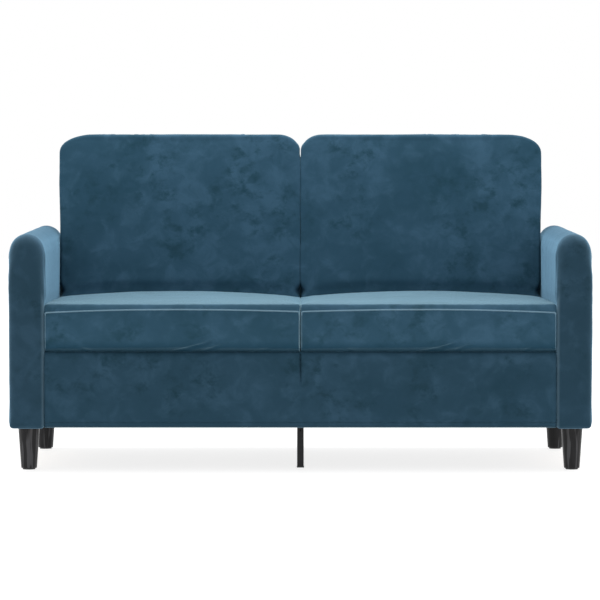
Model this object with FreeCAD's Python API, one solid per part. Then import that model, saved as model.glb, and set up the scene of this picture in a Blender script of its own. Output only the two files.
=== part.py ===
import FreeCAD, Part
import math
import os

# Two-seat upholstered sofa on turned wooden legs, in millimetres.
# X runs along the seat, the sofa faces -Y and Z is up. The origin is on the floor,
# at the middle of the overall width and depth.

os.makedirs("parts", exist_ok=True)
Vec = FreeCAD.Vector

# ---------------------------------------------------------------- overall sizes
WIDTH = 1380.0             # outside of one arm to the outside of the other
DEPTH = 770.0              # front of the seat to the rearmost point of the back
HEIGHT = 800.0             # floor to the top of the backs
LEG_HEIGHT = 102.0         # floor to the underside of the arms
ARM_TOP = 564.0            # floor to the top of the arms
ARM_WIDTH = 83.0
ARM_REAR_SETBACK = 65.0    # the arms stop this far in front of the backs' rearmost point
ARM_FRONT_ROUND = 16.0     # soft edge round an arm's front and rear ends

# ---------------------------------------------------------------- shared thicknesses and fits
COVER = 2.0                # velvet with its lining
SOFT_GAP = 0.3             # between a cover and the foam in it
TOUCH_GAP = 0.5            # between neighbouring upholstered units
FIT = 0.2                  # radial play of screws, bolts and wires in their holes
RAIL = 24.0                # thickness of the base's boards

# ---------------------------------------------------------------- base and seat
BASE_BOTTOM = 105.0        # underside of the front panel
DECK_TOP = 281.0           # the crease between front panel and seat
RAIL_TOP_DROP = 11.0       # board tops below the deck's top: springs, clips and felt lie between
FELT = 4.0
BASE_REAR_STEP = 5.0       # the base ends this far in front of the arms' rear ends
FRONT_PAD = 10.0           # foam on the front board
FRONT_HEM = 60.0           # covers turned under the base
REAR_HEM = 40.0
BEAM_WIDTH = 60.0
BEAM_HEIGHT = 45.0
SPRING_RAIL_LIFT = 38.0    # spring rail's lower edge above the centre beam
SPRING_RAIL_LEAD = 36.0    # the spring rail starts this far behind the backs' front face
BLOCK_LEG = 60.0           # triangular corner blocks
BLOCK_CLEAR = 28.0         # blocks' tops to the lower row of bolts
SEAT_SEAM = 380.0          # top of the seat's upright front face
SEAT_LIP = 396.0           # top of the rounded front edge
SEAT_LIP_RUN = 18.0        # front edge's depth
SEAT_SIDE = 391.0          # seat's top beside an arm
SEAT_CROWN = 405.0         # seat's top at its middle

# ---------------------------------------------------------------- springs
WIRE_RADIUS = 1.9
SPRING_STRAIGHT = 20.0     # straight part of each cross run
SPRING_PITCH = 30.0        # longest allowed distance between cross runs
SPRINGS_PER_SEAT = 5
SPRING_EDGE = 62.0         # outermost spring to the seat's side
CLIP_WIDTH = 16.0
CLIP_PLATE = 1.2
CLIP_LENGTH = 20.0
CLIP_WALL = 1.2

# ---------------------------------------------------------------- backs
BACK_THICKNESS = 145.0     # front to rear, at the top
RECLINE = 11.0             # degrees, of the backs' front faces
BACK_REAR_STEP = 3.0       # backs' rear faces in front of the base's
BACK_FRONT_EDGE = 18.0     # rounded top edge, front side
BACK_REAR_EDGE = 25.0      # rounded top edge, rear side
BACK_INNER_CORNER = 50.0   # top corner radius at the middle of the sofa
BACK_OUTER_CORNER = 62.0   # top corner radius above the arm
BACK_CORNER_RISE = 1.5     # both corner arcs are struck this far above the flat top, which trims them
BACK_TOP_PAD = 45.0        # foam above the uprights
UPRIGHT_WIDTH = 28.0
UPRIGHT_DEPTH = 50.0
UPRIGHT_EDGE = 110.0       # back's side to the middle of the nearest upright
TONGUE_FOOT = 25.0         # tongue's end above the base's boards' lower edge
BACK_RAIL = 22.0
BACK_RAIL_HEIGHT = 60.0
BACK_RAIL_LIFT = 12.0      # lower rail above the deck
BACK_RAIL_END = 40.0       # rail's end to the back's side
WEB_WIDTH = 50.0
WEB_THICKNESS = 1.5
WEB_STRIPS = 6

# ---------------------------------------------------------------- arm frames
ARM_PAD = 13.0             # cover and foam outside the hardboard
ARM_END_PAD = 18.0
ARM_TOP_PAD = 30.0
BOARD = 3.0                # hardboard skin
POST_DEPTH = 60.0
ARM_RAIL_HEIGHT = 30.0

# ---------------------------------------------------------------- legs
LEG_TOP_RADIUS = 26.0
LEG_FOOT_RADIUS = 18.7
LEG_EDGE = 1.5             # rounded edge at both ends
FRONT_LEG_SETBACK = 75.0   # arm's front to a front leg's axis
REAR_LEG_SETBACK = 68.0    # arm's rear end to a rear leg's axis
GLIDE_RADIUS = 15.0
GLIDE_THICKNESS = 3.0
NAIL_RADIUS = 1.2
NAIL_LENGTH = 14.0
PLATE_EDGE = 2.5           # plate's long sides to the rail's
PLATE_LENGTH = 64.0
PLATE_THICKNESS = 2.5
BOSS_RADIUS = 7.0
BOSS_HEIGHT = 12.0
LEG_BOLT_DOWN = 34.0       # hanger bolt's length inside the leg
CENTRE_LEG_SIZE = 16.0
CENTRE_LEG_WALL = 1.5
CENTRE_LEG_CORNER = 2.5
CENTRE_LEG_SETBACK = 120.0 # front of the sofa to the centre leg's axis
CENTRE_PLATE_SIZE = 52.0
CENTRE_PLATE_THICKNESS = 3.0
CAP_SIZE = 17.6
CAP_HEIGHT = 3.0
CAP_PLUG = 12.0
PEG_HOLE_RADIUS = 2.0
PEG_HOLE_DROP = 14.0       # peg hole below the top of the centre leg

# ---------------------------------------------------------------- fasteners
BOLT_RADIUS = 4.0          # M8
BOLT_HEAD_RADIUS = 6.5
BOLT_HEAD_HEIGHT = 5.0
SOCKET_RADIUS = 2.9
SOCKET_DEPTH = 3.0
WASHER_RADIUS = 10.0
WASHER_THICKNESS = 1.6
NUT_FLANGE_RADIUS = 11.0
NUT_FLANGE = 1.5
NUT_BARREL_RADIUS = 5.5
NUT_BARREL = 12.0
BOLT_DROPS = (75.0, 25.0)  # the two rows of bolts below the boards' tops
BOLT_CORNER_INSET = 22.0   # end bolts from the base's front and rear boards
SCREW_RADIUS = 1.75
SCREW_LENGTH = 18.0
SCREW_HEAD_RADIUS = 3.5
SCREW_HEAD = 2.0
BLOCK_SCREW_RADIUS = 2.25
BLOCK_SCREW_BITE = 18.0    # thread inside the board
BLOCK_SCREW_OFFSET = 34.0  # block's square corner to a screw's axis
BLOCK_SCREW_SINK = 6.0     # head below the block's sloping face, along the screw
BLOCK_SCREW_HEAD_RADIUS = 4.2
BLOCK_SCREW_HEAD = 3.0

# ---------------------------------------------------------------- places worked out from the sizes
FRONT_Y = -DEPTH / 2
REAR_Y = DEPTH / 2
ARM_OUTER_X = WIDTH / 2
ARM_INNER_X = ARM_OUTER_X - ARM_WIDTH
ARM_MID_X = (ARM_OUTER_X + ARM_INNER_X) / 2
ARM_REAR_Y = REAR_Y - ARM_REAR_SETBACK
BASE_HALF = ARM_INNER_X - TOUCH_GAP
BASE_REAR_Y = ARM_REAR_Y - BASE_REAR_STEP
RAIL_BOTTOM = BASE_BOTTOM + COVER
RAIL_TOP = DECK_TOP - RAIL_TOP_DROP
FRONT_RAIL_Y = FRONT_Y + COVER + FRONT_PAD
FRONT_RAIL_BACK_Y = FRONT_RAIL_Y + RAIL
REAR_RAIL_BACK_Y = BASE_REAR_Y - COVER
REAR_RAIL_Y = REAR_RAIL_BACK_Y - RAIL
SIDE_RAIL_X = BASE_HALF - RAIL
LEAN = math.tan(math.radians(RECLINE))
BACK_FRONT_DECK_Y = REAR_Y - BACK_THICKNESS - (HEIGHT - DECK_TOP) * LEAN
SPRING_RAIL_Y = BACK_FRONT_DECK_Y + SPRING_RAIL_LEAD
WIRE_Z = RAIL_TOP + CLIP_WALL + WIRE_RADIUS + FIT
ARM_FRAME_X0 = ARM_INNER_X + ARM_PAD
ARM_FRAME_X1 = ARM_OUTER_X - ARM_PAD
ARM_FRAME_Y0 = FRONT_Y + ARM_END_PAD
ARM_FRAME_Y1 = ARM_REAR_Y - ARM_END_PAD
ARM_FRAME_Z0 = LEG_HEIGHT + COVER
ARM_FRAME_Z1 = ARM_TOP - ARM_TOP_PAD
POST_X0 = ARM_FRAME_X0 + BOARD
POST_X1 = ARM_FRAME_X1 - BOARD
PLATE_WIDTH = POST_X1 - POST_X0 - 2 * PLATE_EDGE
ARM_HEM = ARM_WIDTH / 2 - LEG_TOP_RADIUS - TOUCH_GAP
LEG_YS = {"front": FRONT_Y + FRONT_LEG_SETBACK, "rear": ARM_REAR_Y - REAR_LEG_SETBACK}
CENTRE_LEG_Y = FRONT_Y + CENTRE_LEG_SETBACK
BOLT_YS = (FRONT_RAIL_BACK_Y + BOLT_CORNER_INSET, REAR_RAIL_Y - BOLT_CORNER_INSET)
BOLT_ZS = tuple(RAIL_TOP - drop for drop in BOLT_DROPS)
BLOCK_HEIGHT = min(BOLT_ZS) - BLOCK_CLEAR - RAIL_BOTTOM
BLOCK_SCREW_GRIP = BLOCK_LEG - BLOCK_SCREW_OFFSET - BLOCK_SCREW_SINK
BEAM_TOP = RAIL_BOTTOM + BEAM_HEIGHT
UPRIGHT_XS = (UPRIGHT_EDGE, BASE_HALF - UPRIGHT_EDGE)
SIDES = (("left", -1), ("right", 1))


# ---------------------------------------------------------------- helpers
def box(x0, x1, y0, y1, z0, z1):
    return Part.makeBox(x1 - x0, y1 - y0, z1 - z0, Vec(x0, y0, z0))


def rod(radius, start, direction, length):
    return Part.makeCylinder(radius, length, Vec(*start), Vec(*direction))


def face_of(edges):
    return Part.Face(Part.Wire(edges))


def polygon_prism(points, direction):
    """Prism over a closed polygon of 3-D points."""
    corners = [Vec(*point) for point in points]
    return Part.Face(Part.makePolygon(corners + corners[:1])).extrude(Vec(*direction))


def side_prism(points, x0, x1):
    """Prism along X over a polygon of (y, z) points."""
    return polygon_prism([(x0, y, z) for y, z in points], (x1 - x0, 0, 0))


def arc(start, middle, end):
    return Part.Arc(Vec(*start), Vec(*middle), Vec(*end)).toShape()


def line(start, end):
    return Part.LineSegment(Vec(*start), Vec(*end)).toShape()


def at_side(shape, side):
    """Shapes are made at +X; the left one is the mirror image."""
    if side < 0:
        return shape.mirror(Vec(0, 0, 0), Vec(1, 0, 0))
    return shape


def both_sides(shapes):
    return [at_side(shape, side) for _, side in SIDES for shape in shapes]


def save(name, shapes):
    if not isinstance(shapes, list):
        shapes = [shapes]
    solids = [solid for shape in shapes for solid in shape.Solids]
    whole = solids[0] if len(solids) == 1 else Part.makeCompound(solids)
    whole.exportStep(f"parts/{name}.step")


# ---------------------------------------------------------------- fasteners
def bolt(head_seat, direction, length):
    """Button-head M8 bolt with a socket; the shank runs along direction from the head's seat."""
    seat = Vec(*head_seat)
    along = Vec(*direction)
    top = seat - along * BOLT_HEAD_HEIGHT
    head = Part.makeCylinder(BOLT_HEAD_RADIUS, BOLT_HEAD_HEIGHT, top, along)
    socket = Part.makeCylinder(SOCKET_RADIUS, SOCKET_DEPTH, top, along)
    shank = Part.makeCylinder(BOLT_RADIUS, length, seat, along)
    return head.cut(socket).fuse(shank)


def washer(seat, direction):
    """Washer whose outer face carries the bolt head and whose inner face is at seat."""
    start = Vec(*seat) - Vec(*direction) * WASHER_THICKNESS
    disc = Part.makeCylinder(WASHER_RADIUS, WASHER_THICKNESS, start, Vec(*direction))
    hole = Part.makeCylinder(BOLT_RADIUS + FIT, WASHER_THICKNESS, start, Vec(*direction))
    return disc.cut(hole)


def t_nut(mouth, direction):
    """T-nut let into a board: flange flush with the face at mouth, barrel along direction."""
    start = Vec(*mouth)
    along = Vec(*direction)
    flange = Part.makeCylinder(NUT_FLANGE_RADIUS, NUT_FLANGE, start, along)
    barrel = Part.makeCylinder(NUT_BARREL_RADIUS, NUT_BARREL, start, along)
    bore = Part.makeCylinder(BOLT_RADIUS + FIT, NUT_BARREL, start, along)
    return flange.fuse(barrel).cut(bore)


def t_nut_seat(mouth, direction, depth):
    """The hole that a T-nut and its bolt need in a board of that depth."""
    start = Vec(*mouth)
    along = Vec(*direction)
    flange = Part.makeCylinder(NUT_FLANGE_RADIUS + FIT, NUT_FLANGE, start, along)
    barrel = Part.makeCylinder(NUT_BARREL_RADIUS + FIT, NUT_BARREL + FIT, start, along)
    bore = Part.makeCylinder(BOLT_RADIUS + FIT, depth, start, along)
    return flange.fuse(barrel).fuse(bore)


def wood_screw(head_face, direction, length, radius, head_radius, head_height):
    """Countersunk screw whose head's flat face is at head_face."""
    start = Vec(*head_face)
    along = Vec(*direction)
    head = Part.makeCone(head_radius, radius, head_height, start, along)
    shank = Part.makeCylinder(radius, length, start, along)
    return head.fuse(shank)


# ---------------------------------------------------------------- base boards
def arm_bolt_holes(x0, x1):
    """Clearance holes for the bolts that join base and arm, between two planes of X."""
    return [
        rod(BOLT_RADIUS + FIT, (x0, y, z), (1, 0, 0), x1 - x0)
        for y in BOLT_YS
        for z in BOLT_ZS
    ]


def block_screw_axes():
    """Head centre and direction of the two screws in the block at the front right corner."""
    z = RAIL_BOTTOM + BLOCK_HEIGHT / 2
    y = FRONT_RAIL_BACK_Y
    x = SIDE_RAIL_X
    return [
        ((x - BLOCK_SCREW_OFFSET, y + BLOCK_SCREW_GRIP, z), (0, -1, 0)),
        ((x - BLOCK_SCREW_GRIP, y + BLOCK_SCREW_OFFSET, z), (1, 0, 0)),
    ]


def block_screws_front():
    length = BLOCK_SCREW_GRIP + BLOCK_SCREW_BITE
    sizes = (length, BLOCK_SCREW_RADIUS, BLOCK_SCREW_HEAD_RADIUS, BLOCK_SCREW_HEAD)
    return [wood_screw(head, way, *sizes) for head, way in block_screw_axes()]


def block_screw_holes_front():
    """Pilot holes and the counterbores that the heads go down."""
    length = BLOCK_SCREW_GRIP + BLOCK_SCREW_BITE + FIT
    holes = []
    for head, way in block_screw_axes():
        out = (-way[0], -way[1], 0)
        holes.append(rod(BLOCK_SCREW_RADIUS + FIT, head, way, length))
        holes.append(rod(BLOCK_SCREW_HEAD_RADIUS + FIT, head, way, BLOCK_SCREW_HEAD))
        holes.append(rod(BLOCK_SCREW_HEAD_RADIUS + FIT, head, out, BLOCK_LEG))
    return holes


def front_to_rear(shape):
    """Mirror a front-corner shape to the rear corner, about the middle of the side rails."""
    middle = (FRONT_RAIL_BACK_Y + REAR_RAIL_Y) / 2
    return shape.mirror(Vec(0, middle, 0), Vec(0, 1, 0))


def four_corners(shapes):
    """Front-right shapes copied to all four inner corners of the base."""
    rear = [front_to_rear(shape) for shape in shapes]
    return both_sides(shapes + rear)


def corner_block():
    x = SIDE_RAIL_X
    y = FRONT_RAIL_BACK_Y
    points = [(x, y, RAIL_BOTTOM), (x - BLOCK_LEG, y, RAIL_BOTTOM), (x, y + BLOCK_LEG, RAIL_BOTTOM)]
    block = polygon_prism(points, (0, 0, BLOCK_HEIGHT))
    return block.cut(block_screw_holes_front())


def centre_plate_screw_places():
    """Middles of the centre leg's four plate screws, on the plate's lower face."""
    reach = CENTRE_PLATE_SIZE / 2 - 2 * SCREW_HEAD_RADIUS
    z = RAIL_BOTTOM - CENTRE_PLATE_THICKNESS
    return [(i * reach, CENTRE_LEG_Y + j * reach, z) for i in (-1, 1) for j in (-1, 1)]


def back_bolt_places():
    """X and Z of the bolts through the backs' tongues."""
    return [(side * x, z) for _, side in SIDES for x in UPRIGHT_XS for z in BOLT_ZS]


def make_base_boards():
    screw_holes = four_corners(block_screw_holes_front())
    front = box(-BASE_HALF, BASE_HALF, FRONT_RAIL_Y, FRONT_RAIL_BACK_Y, RAIL_BOTTOM, RAIL_TOP)
    save("base_front_rail", front.cut(screw_holes))
    rear_top = DECK_TOP - COVER
    rear = box(-BASE_HALF, BASE_HALF, REAR_RAIL_Y, REAR_RAIL_BACK_Y, RAIL_BOTTOM, rear_top)
    nut_seats = [
        t_nut_seat((x, REAR_RAIL_BACK_Y, z), (0, -1, 0), RAIL) for x, z in back_bolt_places()
    ]
    save("base_rear_rail", rear.cut(screw_holes + nut_seats))
    rail = box(SIDE_RAIL_X, BASE_HALF, FRONT_RAIL_BACK_Y, REAR_RAIL_Y, RAIL_BOTTOM, RAIL_TOP)
    rail = rail.cut(arm_bolt_holes(SIDE_RAIL_X, BASE_HALF))
    for name, side in SIDES:
        save(f"base_side_rail_{name}", at_side(rail, side).cut(screw_holes))
    beam = box(-BEAM_WIDTH / 2, BEAM_WIDTH / 2, FRONT_RAIL_BACK_Y, REAR_RAIL_Y,
               RAIL_BOTTOM, BEAM_TOP)
    pilots = [
        rod(SCREW_RADIUS + FIT, place, (0, 0, 1), SCREW_LENGTH + FIT)
        for place in centre_plate_screw_places()
    ]
    save("base_centre_beam", beam.cut(pilots))
    spring_rail = box(-SIDE_RAIL_X, SIDE_RAIL_X, SPRING_RAIL_Y, SPRING_RAIL_Y + RAIL,
                      BEAM_TOP + SPRING_RAIL_LIFT, RAIL_TOP)
    save("base_spring_rail", spring_rail)
    save("base_corner_blocks", four_corners([corner_block()]))


# ---------------------------------------------------------------- springs and deck
def spring_xs():
    inner = SPRING_EDGE
    step = (BASE_HALF - 2 * SPRING_EDGE) / (SPRINGS_PER_SEAT - 1)
    return [inner + i * step for i in range(SPRINGS_PER_SEAT)]


def zigzag_spring(x):
    """Sinuous wire spring from the middle of the front board to the middle of the spring rail."""
    start = FRONT_RAIL_Y + RAIL / 2
    span = SPRING_RAIL_Y + RAIL / 2 - start
    turns = 2 * math.ceil(span / SPRING_PITCH / 2)
    pitch = span / turns
    half = SPRING_STRAIGHT / 2
    edges = []
    for i in range(turns + 1):
        y = start + i * pitch
        way = 1 if i % 2 == 0 else -1
        edges.append(line((x - way * half, y, WIRE_Z), (x + way * half, y, WIRE_Z)))
        if i < turns:
            bulge = (x + way * (half + pitch / 2), y + pitch / 2, WIRE_Z)
            edges.append(arc((x + way * half, y, WIRE_Z), bulge, (x + way * half, y + pitch, WIRE_Z)))
    circle = Part.Circle(Vec(x - half, start, WIRE_Z), Vec(1, 0, 0), WIRE_RADIUS).toShape()
    return Part.Wire(edges).makePipeShell([Part.Wire([circle])], True, True)


def spring_clip(x, y):
    """Strap nailed to a board: a flat plate with a curl that holds the wire."""
    x0 = x - CLIP_WIDTH / 2
    plate = box(x0, x0 + CLIP_WIDTH, y - CLIP_LENGTH / 2, y + CLIP_LENGTH / 2,
                RAIL_TOP, RAIL_TOP + CLIP_PLATE)
    bore_radius = WIRE_RADIUS + FIT
    curl = rod(bore_radius + CLIP_WALL, (x0, y, WIRE_Z), (1, 0, 0), CLIP_WIDTH)
    bore = rod(bore_radius, (x0, y, WIRE_Z), (1, 0, 0), CLIP_WIDTH)
    return plate.fuse(curl).cut(bore)


def make_springs_and_deck():
    springs = [zigzag_spring(x) for x in spring_xs()]
    for name, side in SIDES:
        save(f"seat_springs_{name}", [at_side(spring, side) for spring in springs])
    clip_ys = (FRONT_RAIL_Y + RAIL / 2, SPRING_RAIL_Y + RAIL / 2)
    clips = [spring_clip(x, y) for x in spring_xs() for y in clip_ys]
    save("spring_clips", both_sides(clips))
    save("seat_deck", box(-BASE_HALF, BASE_HALF, FRONT_RAIL_Y + TOUCH_GAP, SPRING_RAIL_Y + RAIL,
                          DECK_TOP - FELT, DECK_TOP))


# ---------------------------------------------------------------- seats
def back_front_y(z):
    """Front face of the backs at height z."""
    return REAR_Y - BACK_THICKNESS - (HEIGHT - z) * LEAN


def seat_block(inset):
    """Crowned seat block at +X, shrunk by inset on every side but the bottom."""
    x0 = TOUCH_GAP + inset
    x1 = BASE_HALF - inset
    y0 = FRONT_Y + inset
    bottom = DECK_TOP
    seam = SEAT_SEAM - inset
    lip = SEAT_LIP - inset
    crown = SEAT_CROWN - inset
    side = SEAT_SIDE - inset
    rear_gap = TOUCH_GAP + inset / math.cos(math.radians(RECLINE))
    bend = math.radians(45)
    middle = (y0 + SEAT_LIP_RUN * (1 - math.sin(bend)), seam + (lip - seam) * math.cos(bend))
    rear_top = (back_front_y(crown) - rear_gap, crown)
    rear_bottom = (back_front_y(bottom) - rear_gap, bottom)
    edges = [
        line((x0, y0, bottom), (x0, y0, seam)),
        arc((x0, y0, seam), (x0, *middle), (x0, y0 + SEAT_LIP_RUN, lip)),
        line((x0, y0 + SEAT_LIP_RUN, lip), (x0, *rear_top)),
        line((x0, *rear_top), (x0, *rear_bottom)),
        line((x0, *rear_bottom), (x0, y0, bottom)),
    ]
    profile = face_of(edges).extrude(Vec(x1 - x0, 0, 0))
    crowned = face_of([
        line((x0, y0, bottom), (x1, y0, bottom)),
        line((x1, y0, bottom), (x1, y0, side)),
        arc((x1, y0, side), ((x0 + x1) / 2, y0, crown), (x0, y0, side)),
        line((x0, y0, side), (x0, y0, bottom)),
    ]).extrude(Vec(0, DEPTH, 0))
    return profile.common(crowned)


def make_seats():
    outer = seat_block(0)
    inner = seat_block(COVER)
    foam = seat_block(COVER + SOFT_GAP)
    for name, side in SIDES:
        save(f"seat_foam_{name}", at_side(foam, side))
        save(f"seat_cover_{name}", at_side(outer.cut(inner), side))


# ---------------------------------------------------------------- panels that close the base
def make_base_panels():
    save("base_front_padding", box(-BASE_HALF, BASE_HALF, FRONT_Y + COVER, FRONT_RAIL_Y,
                                   RAIL_BOTTOM, DECK_TOP - COVER))
    front = box(-BASE_HALF, BASE_HALF, FRONT_Y, FRONT_Y + FRONT_HEM, BASE_BOTTOM, DECK_TOP)
    front = front.cut(box(-BASE_HALF, BASE_HALF, FRONT_Y + COVER, FRONT_Y + FRONT_HEM,
                          RAIL_BOTTOM, DECK_TOP - COVER))
    front = front.cut(box(-BASE_HALF, BASE_HALF, FRONT_RAIL_Y, FRONT_Y + FRONT_HEM,
                          RAIL_BOTTOM, DECK_TOP))
    save("base_front_cover", front)
    rear_hem_y = BASE_REAR_Y - REAR_HEM
    rear = box(-BASE_HALF, BASE_HALF, rear_hem_y, BASE_REAR_Y, BASE_BOTTOM, DECK_TOP)
    rear = rear.cut(box(-BASE_HALF, BASE_HALF, rear_hem_y, BASE_REAR_Y - COVER,
                        RAIL_BOTTOM, DECK_TOP - COVER))
    rear = rear.cut(box(-BASE_HALF, BASE_HALF, rear_hem_y, REAR_RAIL_Y, RAIL_BOTTOM, DECK_TOP))
    save("base_rear_cover", rear)
    sheet = box(-BASE_HALF, BASE_HALF, FRONT_Y + FRONT_HEM + TOUCH_GAP, rear_hem_y - TOUCH_GAP,
                RAIL_BOTTOM - COVER / 2, RAIL_BOTTOM)
    hole = CENTRE_PLATE_SIZE / 2 + TOUCH_GAP
    sheet = sheet.cut(box(-hole, hole, CENTRE_LEG_Y - hole, CENTRE_LEG_Y + hole,
                          BASE_BOTTOM, RAIL_BOTTOM))
    save("dust_cover", sheet)


# ---------------------------------------------------------------- arms
def arm_body(inset):
    """Upright block with a half-round top and soft ends, shrunk by inset all round."""
    x0 = ARM_INNER_X + inset
    x1 = ARM_OUTER_X - inset
    radius = (x1 - x0) / 2
    z0 = LEG_HEIGHT + inset
    z1 = ARM_TOP - inset - radius
    y0 = FRONT_Y + inset
    y1 = ARM_REAR_Y - inset
    section = face_of([
        line((x0, y0, z0), (x1, y0, z0)),
        line((x1, y0, z0), (x1, y0, z1)),
        arc((x1, y0, z1), (ARM_MID_X, y0, z1 + radius), (x0, y0, z1)),
        line((x0, y0, z1), (x0, y0, z0)),
    ])
    body = section.extrude(Vec(0, y1 - y0, 0))
    ends = []
    for edge in body.Edges:
        limits = edge.BoundBox
        in_end_face = limits.YLength < TOUCH_GAP
        if in_end_face and limits.ZLength > TOUCH_GAP:
            ends.append(edge)
    return body.makeFillet(ARM_FRONT_ROUND - inset, ends)


def arm_frame_space(grow):
    """The room that the timber and hardboard frame takes, open at the bottom."""
    return box(ARM_FRAME_X0 - grow, ARM_FRAME_X1 + grow, ARM_FRAME_Y0 - grow, ARM_FRAME_Y1 + grow,
               LEG_HEIGHT - grow, ARM_FRAME_Z1 + grow)


def leg_plate(x, y):
    """Steel plate let into the arm's lower rail, with a threaded boss for the leg's bolt."""
    z = ARM_FRAME_Z0
    plate = box(x - PLATE_WIDTH / 2, x + PLATE_WIDTH / 2, y - PLATE_LENGTH / 2, y + PLATE_LENGTH / 2,
                z, z + PLATE_THICKNESS)
    boss = rod(BOSS_RADIUS, (x, y, z), (0, 0, 1), PLATE_THICKNESS + BOSS_HEIGHT)
    holes = [rod(BOLT_RADIUS + FIT, (x, y, z), (0, 0, 1), PLATE_THICKNESS + BOSS_HEIGHT)]
    for place in leg_plate_screw_places(x, y):
        holes.append(screw_clearance(place, PLATE_THICKNESS))
    return plate.fuse(boss).cut(holes)


def leg_plate_screw_places(x, y):
    reach_x = PLATE_WIDTH / 2 - 2 * SCREW_HEAD_RADIUS
    reach_y = PLATE_LENGTH / 2 - 2 * SCREW_HEAD_RADIUS
    return [(x + i * reach_x, y + j * reach_y, ARM_FRAME_Z0) for i in (-1, 1) for j in (-1, 1)]


def screw_clearance(place, depth):
    """Countersunk hole for a plate screw that is driven upwards."""
    sink = Part.makeCone(SCREW_HEAD_RADIUS + FIT, SCREW_RADIUS + FIT, SCREW_HEAD,
                         Vec(*place), Vec(0, 0, 1))
    return sink.fuse(rod(SCREW_RADIUS + FIT, place, (0, 0, 1), depth))


def leg_plate_recess(x, y):
    z = ARM_FRAME_Z0
    half_x = PLATE_WIDTH / 2 + FIT
    half_y = PLATE_LENGTH / 2 + FIT
    recess = box(x - half_x, x + half_x, y - half_y, y + half_y, z, z + PLATE_THICKNESS)
    cuts = [recess, rod(BOSS_RADIUS + FIT, (x, y, z), (0, 0, 1), PLATE_THICKNESS + BOSS_HEIGHT + FIT)]
    for place in leg_plate_screw_places(x, y):
        cuts.append(rod(SCREW_RADIUS + FIT, place, (0, 0, 1), SCREW_LENGTH + FIT))
    return cuts


def make_arms():
    outer = arm_body(0)
    inner = arm_body(COVER)
    opening = box(ARM_INNER_X + ARM_HEM, ARM_OUTER_X - ARM_HEM, FRONT_Y + ARM_HEM, ARM_REAR_Y - ARM_HEM,
                  LEG_HEIGHT, ARM_FRAME_Z0)
    cover = outer.cut([inner, opening] + arm_bolt_holes(ARM_INNER_X, ARM_INNER_X + COVER))
    foam = arm_body(COVER + SOFT_GAP).cut(arm_frame_space(0))
    foam = foam.cut(arm_bolt_holes(ARM_INNER_X, ARM_FRAME_X0))

    nut_seats = [
        t_nut_seat((POST_X1, y, z), (-1, 0, 0), POST_X1 - POST_X0) for y in BOLT_YS for z in BOLT_ZS
    ]
    post_z0 = ARM_FRAME_Z0 + ARM_RAIL_HEIGHT
    post_z1 = ARM_FRAME_Z1 - ARM_RAIL_HEIGHT
    front_post = box(POST_X0, POST_X1, ARM_FRAME_Y0, ARM_FRAME_Y0 + POST_DEPTH, post_z0, post_z1)
    rear_post = box(POST_X0, POST_X1, ARM_FRAME_Y1 - POST_DEPTH, ARM_FRAME_Y1, post_z0, post_z1)
    top_rail = box(POST_X0, POST_X1, ARM_FRAME_Y0, ARM_FRAME_Y1, post_z1, ARM_FRAME_Z1)
    bottom_rail = box(POST_X0, POST_X1, ARM_FRAME_Y0, ARM_FRAME_Y1, ARM_FRAME_Z0, post_z0)
    for y in LEG_YS.values():
        bottom_rail = bottom_rail.cut(leg_plate_recess(ARM_MID_X, y))
    inner_panel = box(ARM_FRAME_X0, POST_X0, ARM_FRAME_Y0, ARM_FRAME_Y1, ARM_FRAME_Z0, ARM_FRAME_Z1)
    inner_panel = inner_panel.cut(arm_bolt_holes(ARM_FRAME_X0, POST_X0))
    outer_panel = box(POST_X1, ARM_FRAME_X1, ARM_FRAME_Y0, ARM_FRAME_Y1, ARM_FRAME_Z0, ARM_FRAME_Z1)
    pieces = {
        "arm_cover": [cover],
        "arm_foam": [foam],
        "arm_front_post": [front_post.cut(nut_seats)],
        "arm_rear_post": [rear_post.cut(nut_seats)],
        "arm_top_rail": [top_rail],
        "arm_bottom_rail": [bottom_rail],
        "arm_panels": [inner_panel, outer_panel],
    }
    for name, side in SIDES:
        for piece, shapes in pieces.items():
            save(f"{piece}_{name}", [at_side(shape, side) for shape in shapes])


# ---------------------------------------------------------------- legs
def wooden_leg(x, y):
    """Round tapered leg, bored at the top for its bolt and at the foot for its glide's nail."""
    height = ARM_FRAME_Z0 - GLIDE_THICKNESS
    leg = Part.makeCone(LEG_FOOT_RADIUS, LEG_TOP_RADIUS, height, Vec(x, y, GLIDE_THICKNESS))
    rims = [edge for edge in leg.Edges if edge.BoundBox.ZLength < TOUCH_GAP]
    leg = leg.makeFillet(LEG_EDGE, rims)
    bolt_hole = rod(BOLT_RADIUS + FIT, (x, y, ARM_FRAME_Z0), (0, 0, -1), LEG_BOLT_DOWN + FIT)
    nail_hole = rod(NAIL_RADIUS + FIT, (x, y, 0), (0, 0, 1), GLIDE_THICKNESS + NAIL_LENGTH + FIT)
    return leg.cut([bolt_hole, nail_hole])


def glide(x, y):
    disc = rod(GLIDE_RADIUS, (x, y, 0), (0, 0, 1), GLIDE_THICKNESS)
    nail = rod(NAIL_RADIUS, (x, y, GLIDE_THICKNESS), (0, 0, 1), NAIL_LENGTH)
    return disc.fuse(nail)


def rounded_square(size, corner, z0, z1):
    """Upright square bar with rounded corners on the centre leg's axis."""
    half = size / 2
    bar = box(-half, half, CENTRE_LEG_Y - half, CENTRE_LEG_Y + half, z0, z1)
    corners = [edge for edge in bar.Edges if edge.BoundBox.ZLength > (z1 - z0) / 2]
    return bar.makeFillet(corner, corners)


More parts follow.
